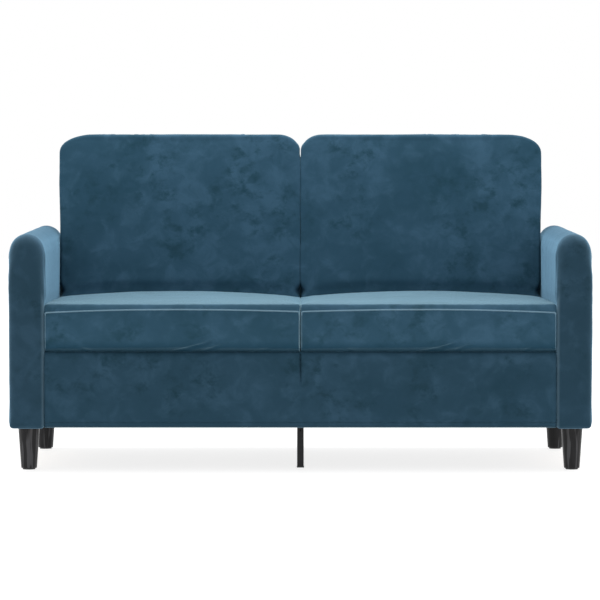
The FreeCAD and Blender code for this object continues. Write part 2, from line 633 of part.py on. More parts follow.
def make_centre_leg():
    plate_z = RAIL_BOTTOM - CENTRE_PLATE_THICKNESS
    bore_size = CENTRE_LEG_SIZE - 2 * CENTRE_LEG_WALL
    bore_corner = CENTRE_LEG_CORNER - CENTRE_LEG_WALL
    tube = rounded_square(CENTRE_LEG_SIZE, CENTRE_LEG_CORNER, CAP_HEIGHT, plate_z)
    tube = tube.cut(rounded_square(bore_size, bore_corner, CAP_HEIGHT, plate_z))
    peg_place = (0, CENTRE_LEG_Y - CENTRE_LEG_SIZE, plate_z - PEG_HOLE_DROP)
    save("centre_leg_tube", tube.cut(rod(PEG_HOLE_RADIUS, peg_place, (0, 1, 0), CENTRE_LEG_SIZE)))
    half = CENTRE_PLATE_SIZE / 2
    plate = box(-half, half, CENTRE_LEG_Y - half, CENTRE_LEG_Y + half, plate_z, RAIL_BOTTOM)
    holes = [screw_clearance(place, CENTRE_PLATE_THICKNESS) for place in centre_plate_screw_places()]
    save("centre_leg_plate", plate.cut(holes))
    cap = rounded_square(CAP_SIZE, CENTRE_LEG_CORNER, 0, CAP_HEIGHT)
    plug = rounded_square(bore_size - 2 * FIT, bore_corner, CAP_HEIGHT, CAP_HEIGHT + CAP_PLUG)
    save("centre_leg_cap", cap.fuse(plug))


def make_legs():
    for name, side in SIDES:
        for end, y in LEG_YS.items():
            save(f"leg_{end}_{name}", wooden_leg(side * ARM_MID_X, y))
    places = [(side * ARM_MID_X, y) for _, side in SIDES for y in LEG_YS.values()]
    save("leg_glides", [glide(x, y) for x, y in places])
    bolt_bottom = ARM_FRAME_Z0 - LEG_BOLT_DOWN
    bolt_length = LEG_BOLT_DOWN + PLATE_THICKNESS + BOSS_HEIGHT
    save("leg_bolts", [rod(BOLT_RADIUS, (x, y, bolt_bottom), (0, 0, 1), bolt_length) for x, y in places])
    save("leg_plates", [leg_plate(x, y) for x, y in places])
    screw_places = [place for x, y in places for place in leg_plate_screw_places(x, y)]
    screw_places += centre_plate_screw_places()
    sizes = (SCREW_LENGTH, SCREW_RADIUS, SCREW_HEAD_RADIUS, SCREW_HEAD)
    screws = [wood_screw(place, (0, 0, 1), *sizes) for place in screw_places]
    save("wood_screws", screws + four_corners(block_screws_front()))


# ---------------------------------------------------------------- backs
def back_rear_line():
    """Foot of the backs' rear face and the angle at which it leans, in radians."""
    foot_y = BASE_REAR_Y - BACK_REAR_STEP
    foot_z = DECK_TOP
    reach_y = REAR_Y - BACK_REAR_EDGE - foot_y
    reach_z = HEIGHT - BACK_REAR_EDGE - foot_z
    distance = math.hypot(reach_y, reach_z)
    angle = math.atan2(reach_y, reach_z) + math.asin(BACK_REAR_EDGE / distance)
    return foot_y, foot_z, angle


def back_side_view(inset, x0, x1):
    """Side view of a back: leaning faces joined by two rounded top edges, as a prism along X."""
    lean = math.radians(RECLINE)
    foot_y, foot_z, rear_lean = back_rear_line()
    bottom = DECK_TOP + SOFT_GAP + inset
    front_y = REAR_Y - BACK_THICKNESS + BACK_FRONT_EDGE
    front_z = HEIGHT - BACK_FRONT_EDGE
    rear_y = REAR_Y - BACK_REAR_EDGE
    rear_z = HEIGHT - BACK_REAR_EDGE
    front_r = BACK_FRONT_EDGE - inset
    rear_r = BACK_REAR_EDGE - inset
    front_low = (front_y - front_r * math.cos(lean), front_z + front_r * math.sin(lean))
    front_foot = (front_low[0] - (front_low[1] - bottom) * math.tan(lean), bottom)
    front_mid_angle = (lean + math.pi / 2) / 2
    front_mid = (front_y - front_r * math.cos(front_mid_angle), front_z + front_r * math.sin(front_mid_angle))
    rear_low = (rear_y + rear_r * math.cos(rear_lean), rear_z - rear_r * math.sin(rear_lean))
    rear_foot = (rear_low[0] - (rear_low[1] - bottom) * math.tan(rear_lean), bottom)
    rear_mid_angle = (math.pi / 2 - rear_lean) / 2
    rear_mid = (rear_y + rear_r * math.cos(rear_mid_angle), rear_z + rear_r * math.sin(rear_mid_angle))
    top_front = (front_y, front_z + front_r)
    top_rear = (rear_y, rear_z + rear_r)
    edges = [
        line((x0, *front_foot), (x0, *front_low)),
        arc((x0, *front_low), (x0, *front_mid), (x0, *top_front)),
        line((x0, *top_front), (x0, *top_rear)),
        arc((x0, *top_rear), (x0, *rear_mid), (x0, *rear_low)),
        line((x0, *rear_low), (x0, *rear_foot)),
        line((x0, *rear_foot), (x0, *front_foot)),
    ]
    return face_of(edges).extrude(Vec(x1 - x0, 0, 0))


def back_front_view(inset, x0, x1):
    """Front view of a back with its two rounded top corners, as a prism along Y."""
    bottom = DECK_TOP
    apex = HEIGHT + BACK_CORNER_RISE
    top = apex - inset
    inner = BACK_INNER_CORNER
    outer = BACK_OUTER_CORNER
    inner_r = inner - inset
    outer_r = outer - inset
    inner_x = x0 - inset + inner
    outer_x = x1 + inset - outer
    slope = math.sqrt(0.5)
    inner_mid = (inner_x - inner_r * slope, FRONT_Y, apex - inner + inner_r * slope)
    outer_mid = (outer_x + outer_r * slope, FRONT_Y, apex - outer + outer_r * slope)
    edges = [
        line((x0, FRONT_Y, bottom), (x0, FRONT_Y, apex - inner)),
        arc((x0, FRONT_Y, apex - inner), inner_mid, (inner_x, FRONT_Y, top)),
        line((inner_x, FRONT_Y, top), (outer_x, FRONT_Y, top)),
        arc((outer_x, FRONT_Y, top), outer_mid, (x1, FRONT_Y, apex - outer)),
        line((x1, FRONT_Y, apex - outer), (x1, FRONT_Y, bottom)),
        line((x1, FRONT_Y, bottom), (x0, FRONT_Y, bottom)),
    ]
    return face_of(edges).extrude(Vec(0, DEPTH, 0))


def back_block(inset):
    x0 = TOUCH_GAP + inset
    x1 = BASE_HALF - inset
    return back_side_view(inset, x0, x1).common(back_front_view(inset, x0, x1))


def along_upright(rise, forward):
    """(y, z) of a point measured up an upright's front face from the deck, and out from it."""
    _, _, angle = back_rear_line()
    foot_y = REAR_RAIL_Y - UPRIGHT_DEPTH
    y = foot_y + rise * math.sin(angle) - forward * math.cos(angle)
    z = DECK_TOP + rise * math.cos(angle) + forward * math.sin(angle)
    return y, z


def upright_rise():
    """Length of an upright above the deck."""
    _, _, angle = back_rear_line()
    return (HEIGHT - BACK_TOP_PAD - DECK_TOP) / math.cos(angle)


def back_upright(x, grow):
    """Upright with its tongue: sawn from one board, the part above the deck leans."""
    rise = upright_rise() + grow
    foot_z = RAIL_BOTTOM + TONGUE_FOOT
    _, _, angle = back_rear_line()
    front_deck = along_upright(0, grow)
    front_top = along_upright(rise, grow)
    depth = UPRIGHT_DEPTH * math.cos(angle) + grow
    rear_top = along_upright(rise, -depth)
    rear_deck_y = REAR_RAIL_Y + grow
    points = [
        (front_deck[0], foot_z),
        front_deck,
        front_top,
        rear_top,
        (rear_deck_y, DECK_TOP),
        (rear_deck_y, foot_z),
    ]
    half = UPRIGHT_WIDTH / 2 + grow
    return side_prism(points, x - half, x + half)


def back_rail(low, high, grow):
    """Board across the front of the uprights, between two heights along them."""
    points = [
        along_upright(low - grow, -grow),
        along_upright(high + grow, -grow),
        along_upright(high + grow, BACK_RAIL + grow),
        along_upright(low - grow, BACK_RAIL + grow),
    ]
    ends = BACK_RAIL_END - grow
    return side_prism(points, TOUCH_GAP + ends, BASE_HALF - ends)


def back_web_strips(grow):
    """Webbing strips from the lower rail to the upper one, on their front faces."""
    low = BACK_RAIL_LIFT
    high = upright_rise()
    first = BACK_RAIL_END + WEB_WIDTH / 2 + TOUCH_GAP
    last = BASE_HALF - BACK_RAIL_END - WEB_WIDTH / 2
    step = (last - first) / (WEB_STRIPS - 1)
    half = WEB_WIDTH / 2 + grow
    points = [
        along_upright(low - grow, BACK_RAIL),
        along_upright(high + grow, BACK_RAIL),
        along_upright(high + grow, BACK_RAIL + WEB_THICKNESS + grow),
        along_upright(low - grow, BACK_RAIL + WEB_THICKNESS + grow),
    ]
    return [
        side_prism(points, first + i * step - half, first + i * step + half) for i in range(WEB_STRIPS)
    ]


def make_backs():
    high = upright_rise()
    low_rail = (BACK_RAIL_LIFT, BACK_RAIL_LIFT + BACK_RAIL_HEIGHT)
    high_rail = (high - BACK_RAIL_HEIGHT, high)
    slots = [back_upright(x, SOFT_GAP) for x in UPRIGHT_XS]
    room = slots + [back_rail(*low_rail, SOFT_GAP), back_rail(*high_rail, SOFT_GAP)]
    room += back_web_strips(SOFT_GAP)
    cover = back_block(0).cut([back_block(COVER)] + slots)
    foam = back_block(COVER + SOFT_GAP).cut(room)
    bolt_holes = [
        rod(BOLT_RADIUS + FIT, (x, REAR_RAIL_Y - 2 * UPRIGHT_DEPTH, z), (0, 1, 0), 3 * UPRIGHT_DEPTH)
        for x in UPRIGHT_XS
        for z in BOLT_ZS
    ]
    pieces = {
        "back_cover": [cover],
        "back_foam": [foam],
        "back_uprights": [back_upright(x, 0).cut(bolt_holes) for x in UPRIGHT_XS],
        "back_bottom_rail": [back_rail(*low_rail, 0)],
        "back_top_rail": [back_rail(*high_rail, 0)],
        "back_webbing": back_web_strips(0),
    }
    for name, side in SIDES:
        for piece, shapes in pieces.items():
            save(f"{piece}_{name}", [at_side(shape, side) for shape in shapes])


# ---------------------------------------------------------------- bolts, washers and T-nuts
def make_fasteners():
    arm_head_x = SIDE_RAIL_X - WASHER_THICKNESS
    arm_bolts = [
        bolt((arm_head_x, y, z), (1, 0, 0), POST_X1 - arm_head_x) for y in BOLT_YS for z in BOLT_ZS
    ]
    save("arm_bolts", both_sides(arm_bolts))
    tongue_y = REAR_RAIL_Y - UPRIGHT_DEPTH
    back_head_y = tongue_y - WASHER_THICKNESS
    back_length = REAR_RAIL_BACK_Y - back_head_y
    save("back_bolts", [bolt((x, back_head_y, z), (0, 1, 0), back_length) for x, z in back_bolt_places()])
    arm_washers = [washer((SIDE_RAIL_X, y, z), (1, 0, 0)) for y in BOLT_YS for z in BOLT_ZS]
    back_washers = [washer((x, tongue_y, z), (0, 1, 0)) for x, z in back_bolt_places()]
    save("washers", both_sides(arm_washers) + back_washers)
    arm_nuts = [t_nut((POST_X1, y, z), (-1, 0, 0)) for y in BOLT_YS for z in BOLT_ZS]
    back_nuts = [t_nut((x, REAR_RAIL_BACK_Y, z), (0, -1, 0)) for x, z in back_bolt_places()]
    save("t_nuts", both_sides(arm_nuts) + back_nuts)


make_base_boards()
make_springs_and_deck()
make_seats()
make_base_panels()
make_arms()
make_legs()
make_centre_leg()
make_backs()
make_fasteners()
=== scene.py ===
import math

import bpy
import numpy as np
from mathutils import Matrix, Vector, noise


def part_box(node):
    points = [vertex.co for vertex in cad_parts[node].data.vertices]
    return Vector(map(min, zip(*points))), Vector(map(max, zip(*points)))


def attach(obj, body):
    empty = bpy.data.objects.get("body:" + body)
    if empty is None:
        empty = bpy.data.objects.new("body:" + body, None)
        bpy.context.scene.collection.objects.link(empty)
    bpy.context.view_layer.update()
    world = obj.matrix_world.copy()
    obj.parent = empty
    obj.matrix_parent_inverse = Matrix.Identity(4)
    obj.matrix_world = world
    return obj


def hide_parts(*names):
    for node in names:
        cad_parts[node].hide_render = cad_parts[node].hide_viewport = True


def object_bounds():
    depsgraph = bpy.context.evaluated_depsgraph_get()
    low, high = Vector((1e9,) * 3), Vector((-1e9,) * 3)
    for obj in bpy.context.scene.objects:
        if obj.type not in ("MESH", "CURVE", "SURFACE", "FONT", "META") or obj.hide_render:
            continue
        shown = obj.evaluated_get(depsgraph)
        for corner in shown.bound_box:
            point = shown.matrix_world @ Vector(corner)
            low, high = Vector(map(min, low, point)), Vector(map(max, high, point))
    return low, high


# A two-seat velvet sofa on short turned legs. The CAD frame gives every place; the upholstery
# is made here, in metres, with X along the seat, the front at -Y and Z up.

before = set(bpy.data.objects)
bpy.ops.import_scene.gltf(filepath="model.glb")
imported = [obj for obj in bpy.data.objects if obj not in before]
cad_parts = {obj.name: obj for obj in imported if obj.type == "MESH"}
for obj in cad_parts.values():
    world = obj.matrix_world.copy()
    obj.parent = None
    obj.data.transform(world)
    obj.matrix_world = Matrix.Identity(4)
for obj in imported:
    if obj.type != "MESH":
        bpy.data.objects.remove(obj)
CAD_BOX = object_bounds()
MM = 0.001

# ---- sizes of the upholstery
STEP = 8 * MM              # lattice spacing on the soft blocks
RIM_STEP = 3.5 * MM        # spacing close to their edges
RIM = 17.5 * MM
RECLINE = math.radians(11)

ARM_TOP_RISE = 46 * MM     # height of the half-round top
ARM_INNER_EDGE = 28 * MM   # soft edge of the front end, on the side of the seat
ARM_OUTER_EDGE = 16 * MM   # on the outer side
ARM_TOP_EDGE = 37 * MM     # over the half-round top
ARM_REAR_EDGE = 13 * MM    # at most, at the rear end
ARM_LOW_EDGE = 9 * MM      # below the seat's top
ARM_FOOT_EDGE = 9 * MM     # where the cover turns under
ARM_HEM = 15 * MM

BACK_DEPTH = 150 * MM      # depth of the block that becomes a back
BACK_OUTER_CORNER = (82 * MM, 43 * MM)  # width and height of the top corner over the arm
BACK_INNER_CORNER = (53 * MM, 47 * MM)  # the same at the middle of the sofa
BACK_TOP_DROP = 2 * MM     # left for the cloth to swell upwards
BACK_FRONT_EDGE = 7 * MM
BACK_REAR_EDGE = 16 * MM
BACK_NOTCH = 732 * MM      # height where the two backs part
BACK_GAP = 2.4 * MM        # from the middle plane to each back above that
BACK_SPREAD = 4 * MM       # the backs swell sideways above the arms

SEAM_ARM = 379.5 * MM      # height of the seat's front seam beside the arm
SEAM_MIDDLE = 387 * MM     # and at the middle of the cushion
SEAM_INNER = 382 * MM      # and beside the other cushion
LIP = 397.5 * MM           # top of the rounded front edge
LIP_START = 3 * MM
LIP_RUN = 11 * MM
SEAT_SIDE = 391 * MM
SEAT_CROWN = 404.5 * MM
SEAT_SEAM_EDGE = 2.5 * MM
SEAT_FOOT_EDGE = 12 * MM   # where the front face turns under into the crease
SEAT_REAR_EDGE = 8 * MM
SEAT_SIDE_CORNER = 6 * MM
SEAT_FOOT_CORNER = 3 * MM
SEAT_FACE_BOW = 4 * MM     # the front face swells forwards at its middle
SEAT_FACE_SETBACK = 2.5 * MM  # and draws back at its sides
SEAT_GAP = 1.6 * MM        # from the middle plane to each seat, at the front
CREASE_LIFT = 4.5 * MM     # of the crease under the seats above the deck, at the front

PULL_DEPTH = 1.2 * MM      # depth of a pull of size 1
PULL_HALF = 4.4 * MM       # half-width of its ridge and of its furrow
PINCH_DEPTH = 8 * MM       # of the front panel, below the gap between the seats
PINCH_HALF = 2.6 * MM

TOUCH = 0.1 * MM           # left between two cushions that touch
WELT_RADIUS = 1.5 * MM
WELT_INSET = 2.8 * MM
THREAD_PITCH = 6 * MM      # length of the welt's faint waves
CLOTH = 1.6 * MM           # thickness of the covers
STAPLE_HALF = 5 * MM
STAPLE_WIRE = 0.45 * MM
STAPLE_LEG = 1.5 * MM

# ---- camera and floor, in metres
CAMERA_LENS = 214.9        # focal length in mm on a sensor 36 mm wide
CAMERA_DISTANCE = 8.459    # in front of the sofa
CAMERA_HEIGHT = 0.803
CAMERA_TILT = math.radians(2.674)
FLOOR_REACH = 14.0


# ---- small helpers
def smooth(low, high, value):
    """0 below low, 1 above high, eased between; works on arrays."""
    t = np.clip((np.asarray(value, float) - low) / (high - low), 0, 1)
    return t * t * (3 - 2 * t)


def mix(a, b, t):
    return a + (b - a) * t


def hump(value, middle, width):
    """A bell of height 1 at middle."""
    return np.exp(-(((value - middle) / width) ** 2))


def cloud(points, size, seed, octaves=2):
    """Fractal noise of about -1 to 1 at each point, with features of that size."""
    shift = Vector((seed * 7.31, seed * 3.17, seed * 5.53))
    return np.array([
        noise.fractal(Vector(p) / size + shift, 1.0, 2.0, octaves) for p in points
    ])


def lattice_lines(low, high, step=STEP, rim=RIM, rim_step=RIM_STEP):
    """Lines across a block: close together near both ends, wider between."""
    rim = min(rim, (high - low) / 3)
    ends = max(2, round(rim / rim_step))
    middle = max(2, round((high - low - 2 * rim) / step))
    return np.concatenate([
        np.linspace(low, low + rim, ends + 1),
        np.linspace(low + rim, high - rim, middle + 1)[1:],
        np.linspace(high - rim, high, ends + 1)[1:],
    ])


class Lattice:
    """The surface of a box as points and quads, with each point's place in the box's grid."""

    def __init__(self, xs, ys, zs):
        sizes = (len(xs), len(ys), len(zs))
        border = np.zeros(sizes, bool)
        border[[0, -1], :, :] = True
        border[:, [0, -1], :] = True
        border[:, :, [0, -1]] = True
        ids = np.full(sizes, -1)
        ids[border] = np.arange(border.sum())
        self.i, self.j, self.k = np.nonzero(border)
        self.sizes = sizes
        self.points = np.stack([xs[self.i], ys[self.j], zs[self.k]], 1)
        sheets = [
            (ids[:, :, 0], True), (ids[:, :, -1], False),
            (ids[:, 0, :], False), (ids[:, -1, :], True),
            (ids[0, :, :], True), (ids[-1, :, :], False),
        ]
        quads = []
        for sheet, flip in sheets:
            quad = np.stack([sheet[:-1, :-1], sheet[1:, :-1], sheet[1:, 1:], sheet[:-1, 1:]], -1)
            quad = quad.reshape(-1, 4)
            quads.append(quad[:, ::-1] if flip else quad)
        self.quads = np.concatenate(quads)
        self.low = np.array([xs[0], ys[0], zs[0]])
        self.high = np.array([xs[-1], ys[-1], zs[-1]])

    def last(self, axis):
        return self.sizes[axis] - 1


def round_block(lattice, corners, front_edge, rear_edge):
    """Round the block's outline in the X-Z plane and then its front and rear edges.

    corners gives the (width, height) of each corner, from low x and low z round by high x. The
    edge radii may be arrays, one value per point."""
    p = lattice.points.copy()
    low, high = lattice.low, lattice.high
    x, z = p[:, 0], p[:, 2]
    sides = np.stack([x - low[0], high[0] - x, z - low[2], high[2] - z])
    nearest = sides.argmin(0)
    depth = sides.min(0)
    outward = np.array([(-1, 0), (1, 0), (0, -1), (0, 1)], float)[nearest]
    for (wide, tall), sx, sz in zip(corners, (-1, 1, 1, -1), (-1, -1, 1, 1)):
        cx = high[0] - wide if sx > 0 else low[0] + wide
        cz = high[2] - tall if sz > 0 else low[2] + tall
        dx, dz = (x - cx) * sx / wide, (z - cz) * sz / tall
        here = (dx > 0) & (dz > 0)
        dx, dz = dx[here], dz[here]
        ring = np.maximum(dx, dz)
        length = np.hypot(dx, dz)
        ux, uz = dx / length, dz / length
        p[here, 0] = cx + sx * wide * ux * ring
        p[here, 2] = cz + sz * tall * uz * ring
        depth[here] = (1 - ring) * np.hypot(wide * ux, tall * uz)
        slope = np.stack([sx * ux / wide, sz * uz / tall], 1)
        outward[here] = slope / np.linalg.norm(slope, axis=1, keepdims=True)
    for sign, face_y, radius in ((1, low[1], front_edge), (-1, high[1], rear_edge)):
        radius = np.broadcast_to(radius, depth.shape)
        from_face = (lattice.points[:, 1] - face_y) * sign
        here = (from_face < radius) & (depth < radius)
        r = radius[here]
        side, back = r - depth[here], r - from_face[here]
        length = np.hypot(side, back)
        new_depth, new_back = r - r * side / length, r - r * back / length
        p[here, 0] -= outward[here, 0] * (new_depth - depth[here])
        p[here, 2] -= outward[here, 1] * (new_depth - depth[here])
        p[here, 1] = face_y + sign * new_back
    return p


def make_mesh(name, points, faces, mirrored=False):
    """Object from points and faces; a mirrored one is reflected to -X."""
    points = np.array(points, float)
    faces = [list(map(int, face)) for face in faces]
    if mirrored:
        points[:, 0] *= -1
        faces = [face[::-1] for face in faces]
    mesh = bpy.data.meshes.new(name)
    mesh.from_pydata(points.tolist(), [], faces)
    mesh.update()
    obj = bpy.data.objects.new(name, mesh)
    bpy.context.scene.collection.objects.link(obj)
    mesh.shade_smooth()
    return obj


def grid_faces(columns, rows, first=0):
    """Quads between the points of a grid, whose columns are numbered one after another."""
    return [
        [here, here + rows, here + rows + 1, here + 1]
        for column in range(first, first + (columns - 1) * rows, rows)
        for here in range(column, column + rows - 1)
    ]


def coords_of(obj):
    co = np.empty(len(obj.data.vertices) * 3)
    obj.data.vertices.foreach_get("co", co)
    return co.reshape(-1, 3)


def normals_of(obj):
    return np.array([v.vector for v in obj.data.vertex_normals])


def set_coords(obj, co):
    obj.data.vertices.foreach_set("co", np.ascontiguousarray(co, np.float32).ravel())
    obj.data.update()


def bake_modifiers(obj):
    """Replace the mesh by what its modifiers make of it."""
    graph = bpy.context.evaluated_depsgraph_get()
    mesh = bpy.data.meshes.new_from_object(obj.evaluated_get(graph), depsgraph=graph)
    obj.modifiers.clear()
    obj.data = mesh
    mesh.shade_smooth()
    return obj


def subdivide(obj):
    modifier = obj.modifiers.new("smooth", "SUBSURF")
    modifier.levels = modifier.render_levels = 1
    return bake_modifiers(obj)


def give_thickness(obj, thickness, offset=-1):
    """Turn an open sheet into a closed one; offset -1 grows it inwards."""
    modifier = obj.modifiers.new("thickness", "SOLIDIFY")
    modifier.thickness = thickness
    modifier.offset = offset
    return bake_modifiers(obj)


# ---- cloth simulation
CLOTH_SETTINGS = {
    "quality": 6, "mass": 0.3, "tension_stiffness": 25, "compression_stiffness": 25,
    "bending_stiffness": 0.6, "use_pressure": True, "vertex_group_mass": "held",
}


def puff_up(jobs, frames=20):
    """Blow up closed covers as cloth held along its seams; it may swell but not shrink.

    Each job is (object, held points, pressure, greatest move, each point's share of the move)."""
    scene = bpy.context.scene
    starts = []
    for obj, held, pressure, _, _ in jobs:
        starts.append((coords_of(obj), normals_of(obj)))
        group = obj.vertex_groups.new(name="held")
        group.add([int(v) for v in held], 1.0, "REPLACE")
        cloth = obj.modifiers.new("cloth", "CLOTH")
        for name, value in CLOTH_SETTINGS.items():
            setattr(cloth.settings, name, value)
        cloth.settings.uniform_pressure_force = pressure
        cloth.settings.effector_weights.gravity = 0
        cloth.collision_settings.use_collision = False
        cloth.point_cache.frame_start = 1
        cloth.point_cache.frame_end = frames
    for step in range(1, frames + 1):
        scene.frame_set(step)
    graph = bpy.context.evaluated_depsgraph_get()
    results = [coords_of(obj.evaluated_get(graph)) for obj, *_ in jobs]
    for (obj, _, _, cap, share), (start, normal), result in zip(jobs, starts, results):
        obj.modifiers.clear()
        obj.vertex_groups.clear()
        move = result - start
        out = np.sum(move * normal, axis=1)
        slide = move - normal * out[:, None]
        swell = np.clip(out, 0, None) * cap / (cap + np.abs(out))
        set_coords(obj, start + normal * (swell * share)[:, None] + 0.3 * slide)
    scene.frame_set(1)


# ---- places read from the frame
ARM_LOW, ARM_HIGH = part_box("arm_cover_right")
SEAT_LOW, SEAT_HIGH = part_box("seat_cover_right")
BACK_LOW, BACK_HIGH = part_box("back_cover_right")
REAR_LOW, REAR_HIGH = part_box("base_rear_cover")
FRONT_LOW, FRONT_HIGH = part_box("base_front_cover")
DECK = SEAT_LOW.z
SIDES = (("left", True), ("right", False))


def back_front(z):
    """Y of the backs' leaning front face at height z."""
    return BACK_LOW.y + (z - BACK_LOW.z) * math.tan(RECLINE)


def back_rear(z):
    """Y of the backs' rear face, from the base's rear up to the rearmost point."""
    foot = REAR_HIGH.y - 3 * MM
    return foot + (z - BACK_LOW.z) / (BACK_HIGH.z - BACK_LOW.z) * (BACK_HIGH.y - foot)


def press(values, limit, sign):
    """Hold values above limit for sign 1, or below it for sign -1."""
    return np.maximum(values, limit) if sign > 0 else np.minimum(values, limit)


def meeting_x(y, z):
    """The gently waved surface on which the left and right cushions press on each other."""
    return -1.1 * MM * np.sin(y * 95 + z * 21) + 0.5 * MM * np.sin(y * 41 - z * 33 + 1)


def hold_inside(co, mirrored, outer, front, rear, floor, gap, pull):
    """Flatten a cushion where it presses on its neighbours: outer, front, rear and floor are its
    limits, gap the room beside the other cushion, and pull first brings its inner side closer."""
    sign = -1 if mirrored else 1
    meeting = meeting_x(co[:, 1], co[:, 2]) * sign
    x = co[:, 0] * sign - meeting
    x = press(x - pull * smooth(9 * MM, 2 * MM, x), gap, 1)
    co[:, 0] = press(x + meeting, outer, -1) * sign
    co[:, 1] = press(press(co[:, 1], front, 1), rear, -1)
    co[:, 2] = press(co[:, 2], floor, 1)
    return co


def draw_in(p, low_x, high_x, tuck, half, move):
    """Move both side edges of a block where tuck is above 0; move's X points inwards."""
    for x, inwards in ((low_x, 1), (high_x, -1)):
        near = tuck * hump(p[:, 0], x, half)
        p += near[:, None] * move * (inwards, 1, 1)


def finish_soft(obj, mirrored, hold, relief, *pull):
    """Hold a cover in its place once it is blown up, then add the creases that relief gives."""
    set_coords(obj, hold(coords_of(obj), mirrored, *pull))
    subdivide(obj)
    co, normal = coords_of(obj), normals_of(obj)
    set_coords(obj, hold(co + normal * relief(co, normal)[:, None], mirrored))


# ---- seat cushions
def crease_lift(run):
    """Height of the crease under the seats above the deck, run behind their front."""
    return CREASE_LIFT * smooth(22 * MM, 8 * MM, run)


def seat_top(x, y):
    """Height of the seat's top panel: a seam valley, a rounded lip, then the crown."""
    u = (x - SEAT_LOW.x) / (SEAT_HIGH.x - SEAT_LOW.x)
    bow = 1 - (2 * u - 1) ** 2
    seam = np.where(u < 0.5, mix(SEAM_INNER, SEAM_MIDDLE, bow), mix(SEAM_ARM, SEAM_MIDDLE, bow))
    run = y - SEAT_LOW.y
    side_drop = (SEAT_CROWN - SEAT_SIDE) * (1 - bow)
    crown = mix(LIP, SEAT_CROWN, smooth(0, 0.35, run)) - side_drop * smooth(0, 0.5, run)
    valley = 2.2 * MM * hump(run, LIP_START, 2.5 * MM)
    return mix(seam, crown, smooth(LIP_START, LIP_START + LIP_RUN, run) ** 0.8) - valley


def seat_lattice():
    top = SEAT_CROWN
    rear = back_front(top)
    xs = lattice_lines(SEAT_LOW.x, SEAT_HIGH.x, step=6 * MM)
    ys = lattice_lines(SEAT_LOW.y, rear, rim=28 * MM)
    zs = lattice_lines(DECK, top, step=4 * MM)
    lattice = Lattice(xs, ys, zs)
    foot = smooth(SEAT_FOOT_EDGE * 2, 0, lattice.points[:, 2] - DECK)
    front_edge = mix(SEAT_SEAM_EDGE, SEAT_FOOT_EDGE, foot)
    corner = (SEAT_SIDE_CORNER, SEAT_SIDE_CORNER)
    foot_corner = (SEAT_FOOT_CORNER, SEAT_FOOT_CORNER)
    p = round_block(lattice, (foot_corner, foot_corner, corner, corner), front_edge, SEAT_REAR_EDGE)
    x, y, z = p.T
    run = (y - SEAT_LOW.y) / (rear - SEAT_LOW.y)
    height = (z - DECK) / (top - DECK)
    z[:] = DECK + height * (seat_top(x, y) - DECK)
    lean = back_front(z) - rear
    y += lean * smooth(0.7, 1.0, run) - 1 * MM * smooth(0.9, 1.0, run)
    across = (x - SEAT_LOW.x) / (SEAT_HIGH.x - SEAT_LOW.x)
    face = smooth(6 * MM, 0, lattice.points[:, 1] - SEAT_LOW.y)
    bow = np.clip(4 * across * (1 - across), 0, 1) ** 0.8
    swell = bow * np.sin(np.pi * height.clip(0, 1)) ** 0.7
    y += face * (SEAT_FACE_SETBACK * (1 - bow) - SEAT_FACE_BOW * swell)
    above = z - DECK
    y[:] = press(y, SEAT_LOW.y + SEAT_FOOT_EDGE - above, 1)
    z += crease_lift(y - SEAT_LOW.y) * np.exp(-above / (10 * MM))
    tuck = hump(y, rear, 16 * MM) * smooth(0.7, 1, height)
    draw_in(p, SEAT_LOW.x, SEAT_HIGH.x, tuck, 14 * MM, (5 * MM, 0, -4 * MM))
    return lattice, p


def hold_seat(co, mirrored, pull=0.0):
    _, y, z = co.T
    above = z - DECK
    front = SEAT_LOW.y - 8 * MM * smooth(4 * MM, 30 * MM, above)
    front += np.clip(CREASE_LIFT + SEAT_FOOT_EDGE - above, 0, SEAT_FOOT_EDGE)
    rear = back_front(z) - 1 * MM
    gap = mix(SEAT_GAP, TOUCH, smooth(20 * MM, 40 * MM, y - SEAT_LOW.y))
    return hold_inside(co, mirrored, SEAT_HIGH.x, front, rear, DECK, gap, pull)


def seat_seam_line(lattice):
    """Points of the front face's seam: up one side, across the top and down the other."""
    i, k = lattice.i, lattice.k

    def ordered(side, key):
        ids = np.nonzero(side & (lattice.j == 0))[0]
        return ids[np.argsort(key[ids])]

    across = ordered(k == lattice.last(2), i)[1:-1]
    return np.concatenate([ordered(i == 0, k), across, ordered(i == lattice.last(0), -k)])


# Short pulls in the cloth where the seat's front face is drawn into the crease:
# (x, z, length, angle in degrees, size), measured from the middle of the sofa and the floor.
SEAT_PULLS = (
    (-0.262, 0.3, 0.052, 20, 2.2), (-0.232, 0.306, 0.062, 19, 2.8), (-0.205, 0.299, 0.056, 15, 2.2),
    (-0.29, 0.294, 0.04, 13, 1.6), (-0.512, 0.296, 0.035, -18, 1.3), (-0.085, 0.294, 0.035, 12, 0.9),
    (0.322, 0.298, 0.055, 18, 2.0), (0.352, 0.304, 0.062, 21, 2.5), (0.386, 0.3, 0.05, 17, 1.8),
    (0.296, 0.294, 0.04, 12, 1.2), (0.54, 0.296, 0.035, 16, 1.2), (0.12, 0.294, 0.04, -13, 1.0),
)
PANEL_PULLS = (
    (-0.235, 0.268, 0.06, 14, 1.3), (-0.19, 0.262, 0.07, 20, 1.4), (-0.44, 0.266, 0.06, -12, 1.0),
    (0.35, 0.266, 0.06, 16, 1.2), (0.405, 0.262, 0.06, 22, 1.0), (0.14, 0.268, 0.05, -10, 0.9),
)


def pulls(points, table):
    """Depth of the pulls on a front face: each is a soft ridge beside a soft furrow."""
    depth = np.zeros(len(points))
    for x, z, length, angle, size in table:
        turn = math.radians(angle)
        dx, dz = points[:, 0] - x, points[:, 2] - z
        along = dx * math.cos(turn) + dz * math.sin(turn)
        across = -dx * math.sin(turn) + dz * math.cos(turn)
        ridge = hump(across, PULL_HALF, PULL_HALF) - hump(across, -PULL_HALF, PULL_HALF)
        depth += PULL_DEPTH * size * ridge * hump(along, 0, length / 2)
    return depth


